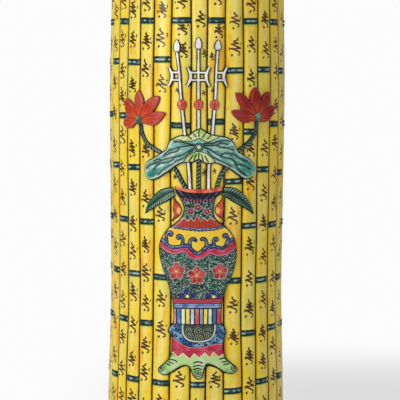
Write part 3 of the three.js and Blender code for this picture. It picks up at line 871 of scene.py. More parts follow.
rays = (stored("bearing") * 20.0).sine().fade(0.0, 0.9) * stored("heart").fade(1.2, 3.6, 0.7, 0.0)
red = (
    clouded((174, 44, 50), (132, 18, 32), 0.3)
    .wash(clouds(0.42).fade(0.5, 0.62, 0.0, 0.5), (218, 110, 96))
    .coat((214, 140, 128), stored("seam"), 0.25, 0.25, 0.8)
    .wash(rays, (222, 128, 88))
)
petal, blue, scroll = stored("petal"), stored("blue"), stored("scroll")
pink_low, pink_top = -stored("pink_low"), -stored("pink_top")
over_scroll = -(stored("pink_top") - 1.6)
scallop = abs((wall_s * 1.25).sine()) - 0.3
under_ring = -stored("under_ring")
belly_enamel = glaze(
    "Vase_belly",
    vermicelli.coat((206, 190, 172), petal, 0.3, 0.2, 0.85)
    .coat((112, 18, 30), petal, -0.1, 0.15)
    .coat(red, petal, -0.45, 0.2)
    .coat((228, 176, 72), stored("heart"), 0.75, 0.25)
    .coat((14, 16, 60), blue, 1.7, 0.2)
    .coat(clouded((34, 50, 168), (20, 24, 90), 0.4), blue, 1.25, 0.35)
    .coats(stored("blue_heart"), 0.15, (DARK, 1.35), ((226, 222, 120), 1.05))
    .coat(DARK, pink_low, 0.3, 0.15)
    .coat((212, 136, 156), pink_low, -0.15, 0.2)
    .coat(clouded((206, 66, 108), (168, 28, 50), 0.16), pink_low, -0.6, 0.3)
    .coats(pink_top, 0.2, ((206, 150, 166), 0.3), ((26, 34, 92), 0.0))
    .coat(clouded((230, 184, 20), (226, 196, 66), 0.12), over_scroll, 0.0, 0.2)
    .coat((8, 12, 38), scroll, 1.3, 0.2)
    .coat((24, 34, 96), stored("web") - WEB_REACH, -0.9, 0.4)
    .coat(clouded((78, 116, 140), (16, 34, 92), 0.2), scroll, 0.58, 0.25)
    .coat((168, 190, 204), scroll, 0.15, 0.3, clouds(0.3).fade(0.45, 0.6))
    .coat((110, 44, 40), -(stored("under_ring") + scallop), -0.1, 0.15)
    .coat(DARK, under_ring, 0.2, 0.15)
    .coat((70, 72, 128), under_ring, -0.2, 0.2)
    .coat(clouded((138, 152, 184), (80, 94, 140), 0.2), abs(stored("ring") + 0.85), 0.36, 0.2)
    .coat(DARK, -stored("ring"), 0.45, 0.15)
    .coat(*OUTLINE_INK),
)
make_relief("vase_belly", [belly], belly_enamel)

# %% Striped column
STRIPE_EDGES = [-15.4, -12.9, -9.9, -6.9, -3.8, -0.9, 2.2, 4.8, 7.8, 10.7, 13.6, 17.3]
STRIPE_COLOURS = [
    (222, 120, 140), (60, 112, 170), (206, 230, 196), (246, 216, 76), (200, 222, 226), (210, 66, 74),
    (118, 150, 178), (246, 216, 70), (210, 230, 200), (58, 98, 150), (206, 52, 84),
]

s, z, edge, face = vase_grid(58.3, 75.25, 0.2, 0.6)
seam = np.min([np.abs(s - place * (0.97 + 0.002 * (z - 58))) for place in STRIPE_EDGES[1:-1]], axis=0)
column = relief(s, z, face, edge=edge, seam=seam)

first, last = STRIPE_EDGES[0], STRIPE_EDGES[-1]
blue = clouded((78, 108, 172), (150, 172, 204), 0.2)
band_inks = [
    (DARK, -67.8), (blue, -68.7), ((44, 60, 116), -69.9), (blue, -70.3), (DARK, -71.1),
    ((186, 84, 108), -71.7), ((158, 24, 52), -72.2), ((190, 84, 104), -73.2), ((154, 24, 50), -73.6),
    ((84, 14, 30), -74.5),
]
column_enamel = glaze(
    "Stand_column",
    Field("ValToRGB", {0: Field("MapRange", {"Value": wall_s, "From Min": first, "From Max": last})})
    .wash(clouds(0.2, 0.5).fade(0.4, 0.65, 0.0, 0.35), (226, 222, 206))
    .wash(clouds(0.24, 0.4).fade(0.52, 0.72, 0.0, 0.4), (40, 60, 104))
    .coat((14, 14, 30), stored("seam"), 0.46, 0.15)
    .coats(-wall_z, 0.18, *band_inks)
    .coat(*OUTLINE_INK),
)
ramp = next(node.color_ramp for node in column_enamel.node_tree.nodes if node.type == "VALTORGB")
ramp.interpolation = "CONSTANT"
while len(ramp.elements) < len(STRIPE_COLOURS):
    ramp.elements.new(0.5)
for element, start, stripe in zip(ramp.elements, STRIPE_EDGES, STRIPE_COLOURS):
    element.position = (start - first) / (last - first)
    element.color = rgb(*stripe)
make_relief("stand_column", [column], column_enamel)

# %% Collar of the stand
PANEL = [
    (-8.2, 58.6), (-8.1, 52.8), (-6.4, 49.4), (-3.3, 47.5), (1.3, 46.9), (6, 47.3), (9.9, 49.2),
    (11.7, 52.8), (12.1, 58.6),
]
CLOUD_LOW = [
    (-20, 52), (-18.5, 51.2), (-16, 49.6), (-12.9, 48), (-9.9, 45.6), (-6.4, 43.6), (-3, 42.9), (1.3, 43),
    (5.6, 43.3), (9.9, 44.6), (14.3, 45.1), (18.3, 45), (21, 45),
]
WAVES = [
    (-4.6, 53.8, 3), (8, 53.8, 3), (1.4, 53.4, 3.6), (-3.9, 50.2, 3.4), (7.6, 50.2, 3.4), (1.8, 48.2, 4.1),
]
NO_WAVE = 9.0

s, z, edge, face = vase_grid(40.4, 58.25, 0.3, 0.2)
arc = np.full(s.shape, NO_WAVE)
for cs, cz, size in WAVES:
    away = np.hypot(s - cs, z - cz)
    arc = np.where(away < size, size - away, arc)
collar = relief(
    s, z, face, edge=edge, panel=signed(s, z, smooth(PANEL, 60)), cloud=above(s, z, smooth(CLOUD_LOW, 60)),
    arc=arc, lid=58.0 - z,
)

flat = Field("CombineXYZ", {"X": wall_s, "Y": wall_z})
speck = Field("TexVoronoi", {"Vector": flat, "Scale": 0.44}, voronoi_dimensions="2D")["Distance"]
blue = clouded((36, 94, 146), (116, 160, 190), 0.22, low=0.44)
blue = blue.wash(clouds(0.16).fade(0.47, 0.6, 0.0, 0.8), (14, 42, 92))
crimson = clouded((204, 66, 98), (162, 28, 46), 0.2, 0.6)
wave = abs((stored("arc") * 2.55).sine()).fade(0.2, 0.52).mix((176, 188, 156), (6, 20, 16))
wave = wave.wash(stored("arc").fade(5.0, 6.0), (36, 58, 52))
cloud, panel = stored("cloud"), stored("panel")
collar_enamel = glaze(
    "Stand_collar",
    speck.fade(0.25, 0.33).mix((6, 10, 30), blue)
    .coats(cloud, 0.15, (DARK, 0.3), ((226, 150, 160), -0.15))
    .coat(crimson, cloud, -0.5, 0.3)
    .coat(DARK, panel, 1.15, 0.12)
    .coats(panel, 0.15, ((190, 202, 180), 0.75), ((14, 30, 26), -0.15))
    .coat(wave, panel, -0.6, 0.3)
    .coat(DARK, stored("lid"), 0.4, 0.15)
    .coat(*OUTLINE_INK),
)
make_relief("stand_collar", [collar], collar_enamel)

# %% Feet of the stand
FEET_LOW = [
    (-25.3, 27.2), (-24.6, 25.2), (-22.2, 23.7), (-19.1, 23.7), (-15.9, 25.4), (-12.4, 27.8), (-8.9, 29.9),
    (-6.3, 30.4), (-4.2, 29.3), (-2.9, 26.3), (-1.6, 23.6), (0.4, 21.7), (1.4, 21.4), (2.6, 21.7),
    (4.6, 23.3), (5.7, 27.7), (7, 31), (9.1, 31.1), (12.6, 29.5), (18, 26), (21.2, 24.8), (25, 24.4),
    (27.6, 25.8),
    (28.3, 27.3),
]
FEET_HIGH_LEFT = [(-25.3, 27.4), (-24.5, 28.9), (-21, 31.8), (-17.8, 35.1), (-16.5, 38), (-16.2, 40.4)]
FEET_HIGH_RIGHT = [(18.4, 40.4), (18.7, 38.6), (20.2, 35.1), (24, 31.8), (27.3, 29.4), (28.3, 27.5)]
FEET_EYES = [(-22.6, 28.3), (1.5, 25.7), (25.2, 28.5)]
ZIGZAG = [
    (-17.5, 37.5), (-16.2, 38.4), (-14.7, 39.6), (-11.6, 36.3), (-8.3, 39), (-3.8, 35.3), (-1.2, 38.8),
    (2.2, 36.1), (5.8, 39.3), (8.7, 36), (11.3, 39.6), (14.8, 36.4), (18.4, 38.4), (19.5, 38),
]
WRINKLES = [
    [(-17.3, 34.4), (-14.5, 34.3), (-12, 33.3)], [(-17.6, 33), (-14.6, 31.9)],
    [(-18.6, 31.4), (-16.4, 30.6)],
    [(-1.4, 32.6), (1.4, 33.4), (4.2, 32.6)], [(-1.6, 30.3), (1.4, 31), (4.2, 30.4)],
    [(-1.2, 28.3), (1.4, 29.1), (3.8, 28.4)], [(15.3, 34.7), (18, 35.5), (20.2, 34.8)],
    [(17.1, 32.9), (20.7, 33.2)], [(18, 31), (21.6, 31.8)],
]

columns = np.linspace(0, 1, 260) * 53.4 - 25.2
low_line = smooth(FEET_LOW, 160)
low = np.interp(columns, *low_line.T)
high = np.maximum(np.interp(columns, *np.transpose(FEET_HIGH_LEFT + FEET_HIGH_RIGHT)), low + 0.1)
z = low + (high - low) * np.linspace(0, 1, 36)[:, None]
s = np.broadcast_to(columns, z.shape)
edge = to_lines(s, z, [low_line, FEET_HIGH_LEFT, FEET_HIGH_RIGHT])
feet = relief(
    s, z, swell(edge, EDGE_RELIEF, VASE_RELIEF, 2), edge=edge, zigzag=above(s, z, ZIGZAG),
    wrinkle=to_lines(s, z, [smooth(line, 12) for line in WRINKLES]), eye=to_points(s, z, FEET_EYES),
)

eye_inks = [(DARK, 2.25), ((168, 196, 154), 1.6), (DARK, 1.05), ((120, 150, 130), 0.3)]
feet_enamel = glaze(
    "Stand_feet",
    clouded((172, 204, 132), (106, 172, 54), 0.07, low=0.44, high=0.56)
    .wash(clouds(0.16).fade(0.5, 0.66, 0.0, 0.8), (196, 210, 180))
    # Darker grey-green towards the outline is painted shade where the feet round off.
    .wash(stored("edge").fade(0.9, 2.6, 0.35, 0.0), (112, 148, 96))
    .coat((236, 214, 170), -stored("zigzag"), 0.45, 0.25)
    .coat(clouded((196, 66, 84), (166, 36, 58), 0.14, 0.6), -stored("zigzag"), -0.15, 0.25)
    .coat(DARK, stored("wrinkle"), 0.45, 0.14)
    .coats(stored("eye"), 0.12, *eye_inks)
    .coat(*OUTLINE_INK),
)
make_relief("stand_feet", [feet], feet_enamel)

# %% [markdown]
# Ribbons
#
# Handles, shafts, stems and long leaves are all ribbons: a middle line and a half width along it. Where
# two ribbons of one halberd meet, both keep the distance to the outline of the whole, so no line is drawn
# between.

# %% Ribbons
STEM_RELIEF = 1.2


def ribbon(path, half_width, steps, columns=11):
    """Grid along a path: its places, the distance to its sides, the length along and the share across."""
    line = smooth(path, steps)
    along = np.gradient(line, axis=0)
    along /= np.hypot(along[:, :1], along[:, 1:])
    share = np.linspace(0, 1, steps)
    across = np.linspace(-1, 1, columns)
    reach = half_width(share)[:, None] * across
    s = line[:, :1] - reach * along[:, 1:]
    z = line[:, 1:] + reach * along[:, :1]
    length = np.hypot(*np.diff(line, axis=0).T).sum()
    edge = half_width(share)[:, None] * (1 - np.abs(across))
    return s, z, edge, np.broadcast_to(share[:, None] * length, s.shape), np.broadcast_to(across, s.shape)


def even(width):
    """A half width that stays the same all along."""
    return lambda share: np.full(share.shape, width / 2)


print("rows and columns of a small ribbon:", ribbon([(0, 0), (5, 5)], even(2), 8)[0].shape)


# %% Ear handles
HANDLES = {
    "ear_handle_left": (
        [(-15.2, 141.2), (-14.4, 138.4), (-13.2, 135.2), (-12.7, 132), (-13.3, 129), (-16.2, 125.2)],
        (-10.8, 131.9),
    ),
    "ear_handle_right": (
        [(18, 141.2), (17, 138.4), (15.6, 135.2), (15, 132), (15.8, 129), (18.7, 125)], (13.3, 132.1),
    ),
}


def handle_width(share):
    """Narrow at both tips and broad at the middle, where the ear meets the neck."""
    return 0.55 + 2.5 * np.sin(np.pi * share) ** 2.5


# Each ear handle gets a pale orange painted highlight round a point near where it meets the neck.
iron_red = glaze(
    "Iron_red",
    clouded((204, 78, 38), (150, 40, 22), 0.16)
    .wash(stored("ball").fade(1.0, 3.1, 0.9, 0.0), (244, 180, 106))
    .coat((66, 26, 16), stored("edge"), 0.5, 0.15),
    0.34,
)
for name, (path, ball) in HANDLES.items():
    s, z, edge, along, across = ribbon(path, handle_width, 60, 19)
    body = relief(s, z, swell(edge, 0.4, STEM_RELIEF, 1.6), edge=edge, ball=to_points(s, z, [ball]))
    make_relief(name, [body], iron_red)

# %% Halberds
BEAD_HEIGHT = 200.7
BEAD_REACH = 3.2
WAIST_HEIGHT = 218.9
BAR_HEIGHTS = (216.6, 221.4)
BAR_REACH = 5.1
HALBERDS = {
    "halberd_left": (
        [
            (-13.4, 242.6), (-13.2, 234.2), (-11.7, 222.5), (-10.3, 205.1), (-7.9, 182.4), (-5.4, 161.6),
            (-4.3, 146),
        ],
        [-1],
    ),
    "halberd_middle": (
        [(0.6, 244.1), (0.7, 236), (0.7, 222.5), (0.8, 205), (1.1, 182), (1.2, 168)], [-1, 1],
    ),
    "halberd_right": (
        [(13.5, 242.6), (13, 235.4), (12.2, 222.6), (11.6, 205.9), (9.9, 182.4), (7.8, 161.7), (7.6, 146)],
        [1],
    ),
}
BLADE_HEIGHTS = [225, 222.6, 220.6, 218.9, 217.2, 215.1, 212.6]
BLADE_REACHES = [7.1, 5.9, 5.1, 4.85, 5.1, 5.9, 7.2]


def shaft_shape(share):
    """Half width of a shaft, which grows a little towards the vase."""
    return 1.36 + 0.24 * share


def head_shape(share):
    """Half width of a spear head: swelling from its neck and drawn to a point."""
    return 0.7 + 1.9 * np.sin(np.pi * np.clip(share, 0, 1) ** 0.72) ** 0.9


def bead_shape(share):
    """Half width of a bead: that of a circle, with a little added all along."""
    return 0.3 + 2.8 * np.sqrt(np.clip(1 - (2 * share - 1) ** 2, 0, 1))


def blade_shape(share):
    """Half width of a crescent: a little broader at its waist than at both horns."""
    return 1.3 + 0.4 * np.sin(np.pi * share) ** 2


def halberd_bodies(path, sides):
    """The shaft, head, bead, crescents and bars, each with its distance to the outline of them all."""
    line = smooth(path, 200)
    tip, neck = path[:2]

    def axis(z):
        return np.interp(z, line[::-1, 1], line[::-1, 0])

    bead = [(axis(end), end) for end in (BEAD_HEIGHT + BEAD_REACH, BEAD_HEIGHT - BEAD_REACH)]
    shapes = [(path[1:], shaft_shape, 130), ([neck, tip], head_shape, 24), (bead, bead_shape, 24)]
    waist = axis(WAIST_HEIGHT)
    for side in sides:
        blade = [(waist + side * reach, height) for reach, height in zip(BLADE_REACHES, BLADE_HEIGHTS)]
        shapes.append((blade, blade_shape, 36))
        for height in BAR_HEIGHTS:
            shapes.append(([(waist, height), (waist + side * BAR_REACH, height)], even(2.6), 10))
    bodies = []
    for order, (places, width, steps) in enumerate(shapes):
        s, z, whole, along, across = ribbon(places, width, steps)
        for other_places, other_width, other_steps in shapes:
            ink_line = smooth(other_places, other_steps)
            widths = other_width(np.linspace(0, 1, other_steps))
            gaps = np.hypot(s[..., None] - ink_line[:, 0], z[..., None] - ink_line[:, 1])
            whole = np.maximum(whole, (widths - gaps).max(-1))
        face = swell(whole, 0.45, STEM_RELIEF, 1.1) + 0.005 * order
        belly = swell(to_points(s, z, [(axis(BEAD_HEIGHT), BEAD_HEIGHT)]), 0.9, 0, BEAD_REACH)
        bodies.append(relief(
            s, z, face + np.maximum(belly, 0), edge=whole, bead=np.abs(z - BEAD_HEIGHT),
            middle=np.abs(s - axis(z)), neck=np.abs(z - neck[1] - 0.5),
        ))
    return bodies


red = (
    clouded((206, 92, 72), (168, 54, 46), 0.2)
    .wash(stored("middle").fade(0.0, 0.5, 0.7, 0.0), (128, 32, 30))
    .wash(stored("edge").fade(0.2, 1.1, 0.8, 0.0), (112, 34, 30))
)
halberd_white = glaze(
    "Halberd_white",
    clouded((236, 236, 228), (208, 206, 204), 0.12)
    .wash(clouds(0.07).fade(0.5, 0.7, 0.0, 0.6), (216, 200, 212))
    .coat(DARK, stored("edge"), 0.82, 0.12)
    .coat(DARK, stored("neck"), 0.36, 0.14)
    .coat(DARK, stored("bead"), 3.5, 0.12)
    .coat(red, stored("bead"), 3.1, 0.15),
    0.2,
)
for name, (path, sides) in HALBERDS.items():
    make_relief(name, halberd_bodies(path, sides), halberd_white)

# %% Stems and long leaves
STEMS = {
    "leaf_stem": [(1.2, 144.6), (1.2, 157), (1.3, 166)],
    "flower_stem_left": [
        (-7.6, 146.4), (-8, 148.2), (-10.5, 152.6), (-12.5, 156.6), (-15.8, 160.5), (-23.8, 168.9),
        (-27.1, 170.9), (-31, 172.8), (-34.9, 175.9), (-37.3, 179.8), (-38.8, 183.8), (-39.5, 189.5),
    ],
    "flower_stem_right": [
        (13.2, 146.4), (13.3, 147.7), (14.5, 151.7), (16.5, 156.2), (20.3, 160.6), (28, 170.4),
        (30.8, 172.3), (35.5, 175.7), (39.8, 180.2), (42, 185.1), (41.8, 190.4),
    ],
}
LONG_LEAVES = {
    "long_leaf_left": [(-14.9, 144.4), (-21.5, 141.8), (-28.4, 137.4), (-33, 133), (-35.7, 129.4)],
    "long_leaf_right": [(17.6, 144.4), (23, 143.2), (30.2, 139), (36.4, 134), (40.6, 129)],
}


def long_leaf_width(share):
    """Broad along most of its length, and drawn to a point."""
    return 4.7 * np.minimum(1, 0.66 + 1.2 * share) * (1 - 0.96 * share**2.6)


dash = ((stored("along") + stored("across") * 1.1) * 2.6).sine()
stripe = stored("along").fade(34.0, 56.0, 0.85, 0.2)
stem_green = glaze(
    "Stem_green",
    clouded((8, 34, 32), (22, 64, 54), 0.16)
    .wash(dash.fade(0.55, 0.95) * stripe, (138, 168, 158))
    .coat((10, 20, 18), stored("edge"), 0.6, 0.2),
)
for name, path in STEMS.items():
    s, z, edge, along, across = ribbon(path, even(3.1), 110)
    body = relief(s, z, swell(edge, 0.4, STEM_RELIEF, 1.1), edge=edge, along=along, across=across)
    make_relief(name, [body], stem_green)

barb = ((stored("along") - abs(stored("across")) * 2.6) * 3.4).sine()
outer = stored("across").fade(0.1, 0.6, 0.0, 0.9)
inner = stored("across").fade(-0.2, -0.8, 0.0, 0.3)
long_leaf_green = glaze(
    "Long_leaf_green",
    clouded((10, 38, 34), (30, 84, 62), 0.12)
    .wash(barb.fade(0.1, 0.75) * outer.math("MAXIMUM", inner), (156, 188, 168))
    .coat((8, 24, 18), abs(stored("middle")), 0.35, 0.2)
    .coat((12, 26, 18), stored("edge"), 0.65, 0.15),
)
for name, path in LONG_LEAVES.items():
    s, z, edge, along, across = ribbon(path, long_leaf_width, 90, 31)
    face = swell(edge, 0.45, 1.6, 2.2) - 0.3 * dent(across, 0.12)
    body = relief(s, z, face, edge=edge, along=along, across=across, middle=across * 3)
    make_relief(name, [body], long_leaf_green)

# %% [markdown]
# Leaf and flowers
#
# These open round a centre, so their grids run outwards from it along spokes. The leaf is two drooping lobes
# with a pale flap above and below its eye, and the flowers are five petals that meet at a green calyx.

# %% Patches round a centre


def patch(centre, outline, spokes, steps):
    """Grid from a centre out to a closed outline: places and distance to the outline."""
    line = smooth(outline, spokes, closed=True)
    share = np.linspace(0.01, 1, steps)[:, None] ** 0.8
    s = centre[0] + share * (line[:, 0] - centre[0])
    z = centre[1] + share * (line[:, 1] - centre[1])
    return s, z, to_line(s, z, line, closed=True)


def patch_body(s, z, face, **values):
    """Closed body from a patch: rings out along the back, then in along the front to the centre."""
    back = np.array([0, len(s) // 3, 2 * len(s) // 3, len(s) - 1])
    front = np.arange(len(s))[::-1]
    behind = roll(s[back], z[back], -RELIEF_SEAT)
    rings = np.concatenate([behind, roll(s[front], z[front], face[front])])
    return loft(rings, **in_order(values, s.shape, np.concatenate([back, front]), 0))


print("rings and spokes of a small patch:", patch((0, 0), [(1, 0), (0, 1), (-1, -1)], 12, 5)[0].shape)


# %% Lotus leaf
LEAF_RELIEF = 2.1
LEAF_EYE = (1.3, 173.4)
LEAF = [
    (1.5, 185.7), (4, 185), (6.7, 183), (11, 181.5), (18.5, 180.2), (22.3, 178.3), (25, 175), (27, 171),
    (31.5, 168.2), (36.5, 165), (40.2, 161.7), (41, 158), (39.2, 154.2), (34.6, 152), (30.5, 152.8),
    (26.5, 155.5), (21.5, 158.8), (16.5, 161.3), (12, 162.8), (8.5, 162.2), (4.3, 163), (1.2, 165),
    (-2.2, 163.4), (-6.4, 163), (-9.5, 162.8), (-13.5, 160.8), (-17, 158.1), (-20, 156), (-26.4, 152.2),
    (-31.5, 151.4), (-34.9, 154.4), (-35.7, 158.5), (-33.5, 163.6), (-28.7, 166.3), (-23.7, 169.3),
    (-20, 172.3), (-18.3, 176.4), (-15.6, 179), (-11, 181), (-5.3, 181.4), (-2.5, 183.6),
]
UPPER_FLAP = [
    (-15.6, 178.3), (-11.4, 178), (-7.4, 177.1), (-4.5, 177), (-2.1, 177.8), (1.5, 179.1), (3.2, 178.3),
    (5.2, 177.2), (7.1, 176.9), (9.1, 177.6), (11.3, 178.8), (13.6, 180.6), (13, 190), (-16, 190),
]
LOWER_FLAP = [
    (-8.8, 162.4), (-7.4, 165.4), (-5.4, 167.9), (-3, 169.4), (-0.6, 170.4), (2.3, 170.4), (4.8, 169.7),
    (7.2, 168.2), (9.7, 166), (12.4, 162.6), (12, 158), (-9, 158),
]
FLAP_RAYS = [
    [(1.2, 184.6), (1.2, 180.4)], [(-2.6, 182.6), (-0.6, 180)], [(-6, 181), (-3.4, 178.6)],
    [(5.4, 182.4), (3.4, 179.8)], [(9, 181.4), (6.6, 178.6)], [(1.2, 165.4), (1.2, 169.4)],
    [(-2, 164), (-0.6, 168.6)], [(-4.8, 164.2), (-2.6, 168)], [(4.2, 163.8), (3, 168.4)],
    [(7.4, 163.4), (5.2, 167.4)],
]
VEINS = [
    [(-0.9, 174.6), (-3.5, 175.3), (-6.4, 175.8), (-9.4, 176.6), (-14, 176.6)],
    [(-0.4, 173.9), (-3, 174.6), (-6.4, 174.1), (-10.4, 173.3), (-13.8, 172.2), (-18.9, 170.2), (-21, 168)],
    [
        (-0.1, 173.1), (-2.5, 172.4), (-5.4, 170.6), (-7.9, 168.8), (-10.3, 167.6), (-14.3, 166.8),
        (-18.3, 165.7), (-22.5, 164.6), (-26.3, 163), (-30.7, 161.4), (-33.6, 159.3),
    ],
    [
        (-2.5, 171.4), (-4.9, 169.4), (-7.4, 166.9), (-10.3, 165.3), (-13.3, 163.8), (-15.8, 161.8),
        (-19.9, 159.7), (-22.5, 157.6), (-25.1, 155.1),
    ],
    [(-13.3, 167.3), (-16.3, 164.3), (-20.9, 162.7), (-24.6, 162.2), (-29, 158)],
    [(-10.4, 173.3), (-12.4, 170.6), (-17, 169.2), (-21.4, 167)],
    [(-22.5, 164.6), (-25.6, 165), (-28.4, 164)],
    [(3.7, 175.4), (7.2, 176.1), (10.1, 175.9), (13.1, 177.1), (17.1, 177.8), (21.2, 177.3)],
    [(4, 174.4), (7.2, 174.6), (12.1, 174.6), (15.1, 173.4), (19.2, 172.8), (24, 171.4)],
    [
        (4.7, 173.4), (8.2, 171.9), (11.1, 169.9), (14.6, 167.9), (18.2, 166.4), (22.3, 165.8), (25, 163.3),
        (26.7, 159.8), (29.5, 156.7), (33.5, 154.6),
    ],
    [(23.4, 169.3), (26.6, 167.3), (29.4, 165.2), (33.9, 164)],
    [(25, 161.8), (28.3, 162), (31.7, 161.2), (36, 158.6)],
    [(6.6, 170.8), (9.6, 167.6), (13.4, 165.2), (17.6, 163.2), (21.6, 160.6)],
    [(12.1, 174.6), (15.4, 176), (19.6, 175.2)], [(14.6, 167.9), (18.4, 169.6), (23, 168.6)],
]

s, z, edge = patch(LEAF_EYE, LEAF, 300, 80)
flaps = [signed(s, z, smooth(*flap, closed=True)) for flap in ((UPPER_FLAP, 90), (LOWER_FLAP, 80))]
flap = np.minimum(*flaps)
vein = to_lines(s, z, [smooth(line, 24) for line in VEINS])
face = swell(edge, 1.35, LEAF_RELIEF + 0.3, 2.4) - 0.22 * dent(vein, 0.7) - 0.5 * np.clip(-flap / 1.2, 0, 1)
leaf = patch_body(
    s, z, face, edge=edge, eye=to_points(s, z, [LEAF_EYE]), flap=flap, vein=vein,
    ray=to_lines(s, z, FLAP_RAYS), spoke=np.arctan2(s - LEAF_EYE[0], z - LEAF_EYE[1]),
)

fan = Field("CombineXYZ", {"X": stored("spoke") * 9.0, "Y": stored("eye") * 0.1})
wash = Field("TexNoise", {"Vector": fan, "Scale": 1.3, "Detail": 3.0, "Roughness": 0.6})["Fac"]
pale_green = clouded((202, 210, 146), (152, 184, 96), 0.14, low=0.42, high=0.64)
eye_inks = [((20, 54, 54), 3.0), ((86, 126, 114), 2.4), (DARK, 1.9), ((206, 212, 178), 1.25), (DARK, 0.45)]
leaf_enamel = glaze(
    "Lotus_leaf",
    stored("eye").fade(8.0, 36.0).mix((122, 174, 156), (60, 146, 122))
    .wash(wash.fade(0.5, 0.36, 0.0, 0.85), (24, 98, 98))
    .wash(wash.fade(0.52, 0.66, 0.0, 0.85), (194, 216, 202))
    .wash(clouds(0.13, 1.6).fade(0.52, 0.66, 0.0, 0.5), (190, 200, 192))
    .wash(stored("vein").fade(0.3, 1.3, 0.6, 0.0), (26, 76, 78))
    # A pale rim just inside the outline is a painted highlight along the leaf's edge.
    .wash(stored("edge").fade(1.1, 2.3, 0.6, 0.0), (200, 220, 206))
    .coat((6, 20, 22), stored("vein"), 0.4, 0.14, 0.97)
    .coats(stored("flap"), 0.15, (DARK, 0.3), (pale_green, -0.25))
    .coat((22, 40, 18), stored("ray"), 0.42, 0.2)
    .coats(stored("eye"), 0.2, *eye_inks)
    .coat((20, 32, 24), stored("edge"), 0.9, 0.15),
    0.2,
)
make_relief("lotus_leaf", [leaf], leaf_enamel)

# %% Lotus flowers
FLOWERS = {
    "lotus_flower_left": {
        "heart": (-40, 194),
        "calyx": (-39.9, 190.4),
        "outline": [
            (-40, 188), (-43, 188), (-47, 184.8), (-53.2, 185.4), (-55.4, 188.1), (-53.2, 191.6),
            (-49.5, 192.6), (-51.9, 194), (-53.4, 198.5), (-52.7, 203.7), (-50, 204.1), (-46.3, 201.8),
            (-44.2, 199.8), (-44.2, 203.1), (-43.4, 206.9), (-40.7, 209.7), (-37.9, 206.9), (-36.2, 203.3),
            (-36.2, 200.8), (-33.4, 203.8), (-28.8, 206), (-24.7, 205.9), (-25, 202.1), (-27.5, 198.1),
            (-29.2, 196), (-25, 196.2), (-20.7, 195.4), (-22, 192.3), (-25.2, 188.7), (-29.3, 186.8),
            (-35.1, 187.7),
        ],
        "valleys": [(-50.2, 192.4), (-44.3, 200.6), (-36.1, 201.6), (-28.6, 196)],
    },
    "lotus_flower_right": {
        "heart": (40.8, 196),
        "calyx": (41.7, 193),
        "outline": [
            (38.4, 190), (32.4, 188.8), (26.2, 191.6), (22.6, 196.3), (25.1, 197.6), (28.9, 197.4),
            (29.2, 199.2), (26.7, 203.7), (25.4, 208.3), (29.4, 208.3), (33.5, 205.6), (35.8, 202.8),
            (36, 206.9), (38.1, 210.4), (40.4, 212.1), (43, 210.1), (45, 206.6), (45.5, 203.6),
            (47.6, 206.9), (51.2, 209.1), (53.7, 208.5), (54.5, 204), (53, 200), (55.9, 200), (59.7, 199.4),
            (59.2, 195.9), (55.2, 191.4), (49.5, 189.2), (44.4, 189.4),
        ],
        "valleys": [(28.2, 197.8), (35.9, 203.6), (45.4, 204.4), (53.4, 200)],
    },
}


def dark_one(left, right):
    """A colour of the left flower, or that of the darker right one."""
    return stored("dark").mix(left, right)


deep = dark_one((140, 24, 18), (94, 12, 12))
streak = ((stored("bearing") * 30.0).sine() + clouds(0.3)).fade(0.3, 1.6)
ember = stored("stalk_end").fade(3.0, 12.0, 0.85, 0.0)
rays = (stored("bearing") * 24.0).sine().fade(0.2, 0.9, 0.15, 1.0)
bloom = clouds(0.12).fade(0.48, 0.64) * stored("stalk_end").fade(8.0, 13.0)
lotus_red = glaze(
    "Lotus_red",
    dark_one((184, 50, 18), (152, 24, 12))
    .wash(streak * 0.55, deep)
    .wash(ember * rays, (228, 104, 44))
    .wash(stored("edge").fade(0.4, 1.9, 0.6, 0.0), dark_one((186, 98, 76), (150, 52, 44)))
    .coat(deep, stored("parting"), 0.4, 0.6, 0.8)
    .wash(bloom * 0.5, dark_one((176, 86, 76), (140, 56, 54)))
    .coat((136, 34, 40), stored("edge"), 0.5, 0.4, 0.8),
    0.28, 0.12, 0.3,
)
calyx_green = glaze(
    "Calyx_green",
    clouded((116, 168, 142), (36, 90, 76), 0.25).coat((14, 34, 28), stored("edge"), 0.62, 0.2),
)

for name, flower in FLOWERS.items():
    s, z, edge = patch(flower["heart"], flower["outline"], 240, 44)
    base = flower["calyx"]
    parting = to_lines(s, z, [[base, valley] for valley in flower["valleys"]])
    body = patch_body(
        s, z, swell(edge, 0.8, 1.8, 2.4) + 0.4 * (1 - np.exp(-parting / 1.2)), edge=edge, parting=parting,
        bearing=np.arctan2(s - base[0], z - base[1]), stalk_end=to_points(s, z, [base]),
        dark=float(name.endswith("right")),
    )
    make_relief(name, [body], lotus_red)
    s, z, edge, along, across = ribbon([(base[0], base[1] - 3.2), (base[0], base[1] + 2.8)], bead_shape, 24)
    s = base[0] + (s - base[0]) * 0.85
    calyx = relief(s, z, swell(edge, 1.6, 2.9, 2), edge=edge)
    make_piece(name + "_calyx", [calyx], calyx_green)

# %% [markdown]
# The studio
#
# The pot stands on a pale floor before plain white. A large soft light on the left gives each stalk a soft
# upright sheen and leaves the right of the pot darker, and a painted shadow greys the floor only at the
# right.

# %% Floor, light and camera
CAMERA_DISTANCE = 1.12
CAMERA_HEIGHT = 0.2255
CAMERA_PITCH = 4.39
CAMERA_ROLL = -0.31
CAMERA_LENS = 147.7
PICTURE_WIDTH = 400
CAMERA_SHIFT = 2.7
FLOOR_REACH = 3
LIGHT_TARGET = (0, 0, 0.14)

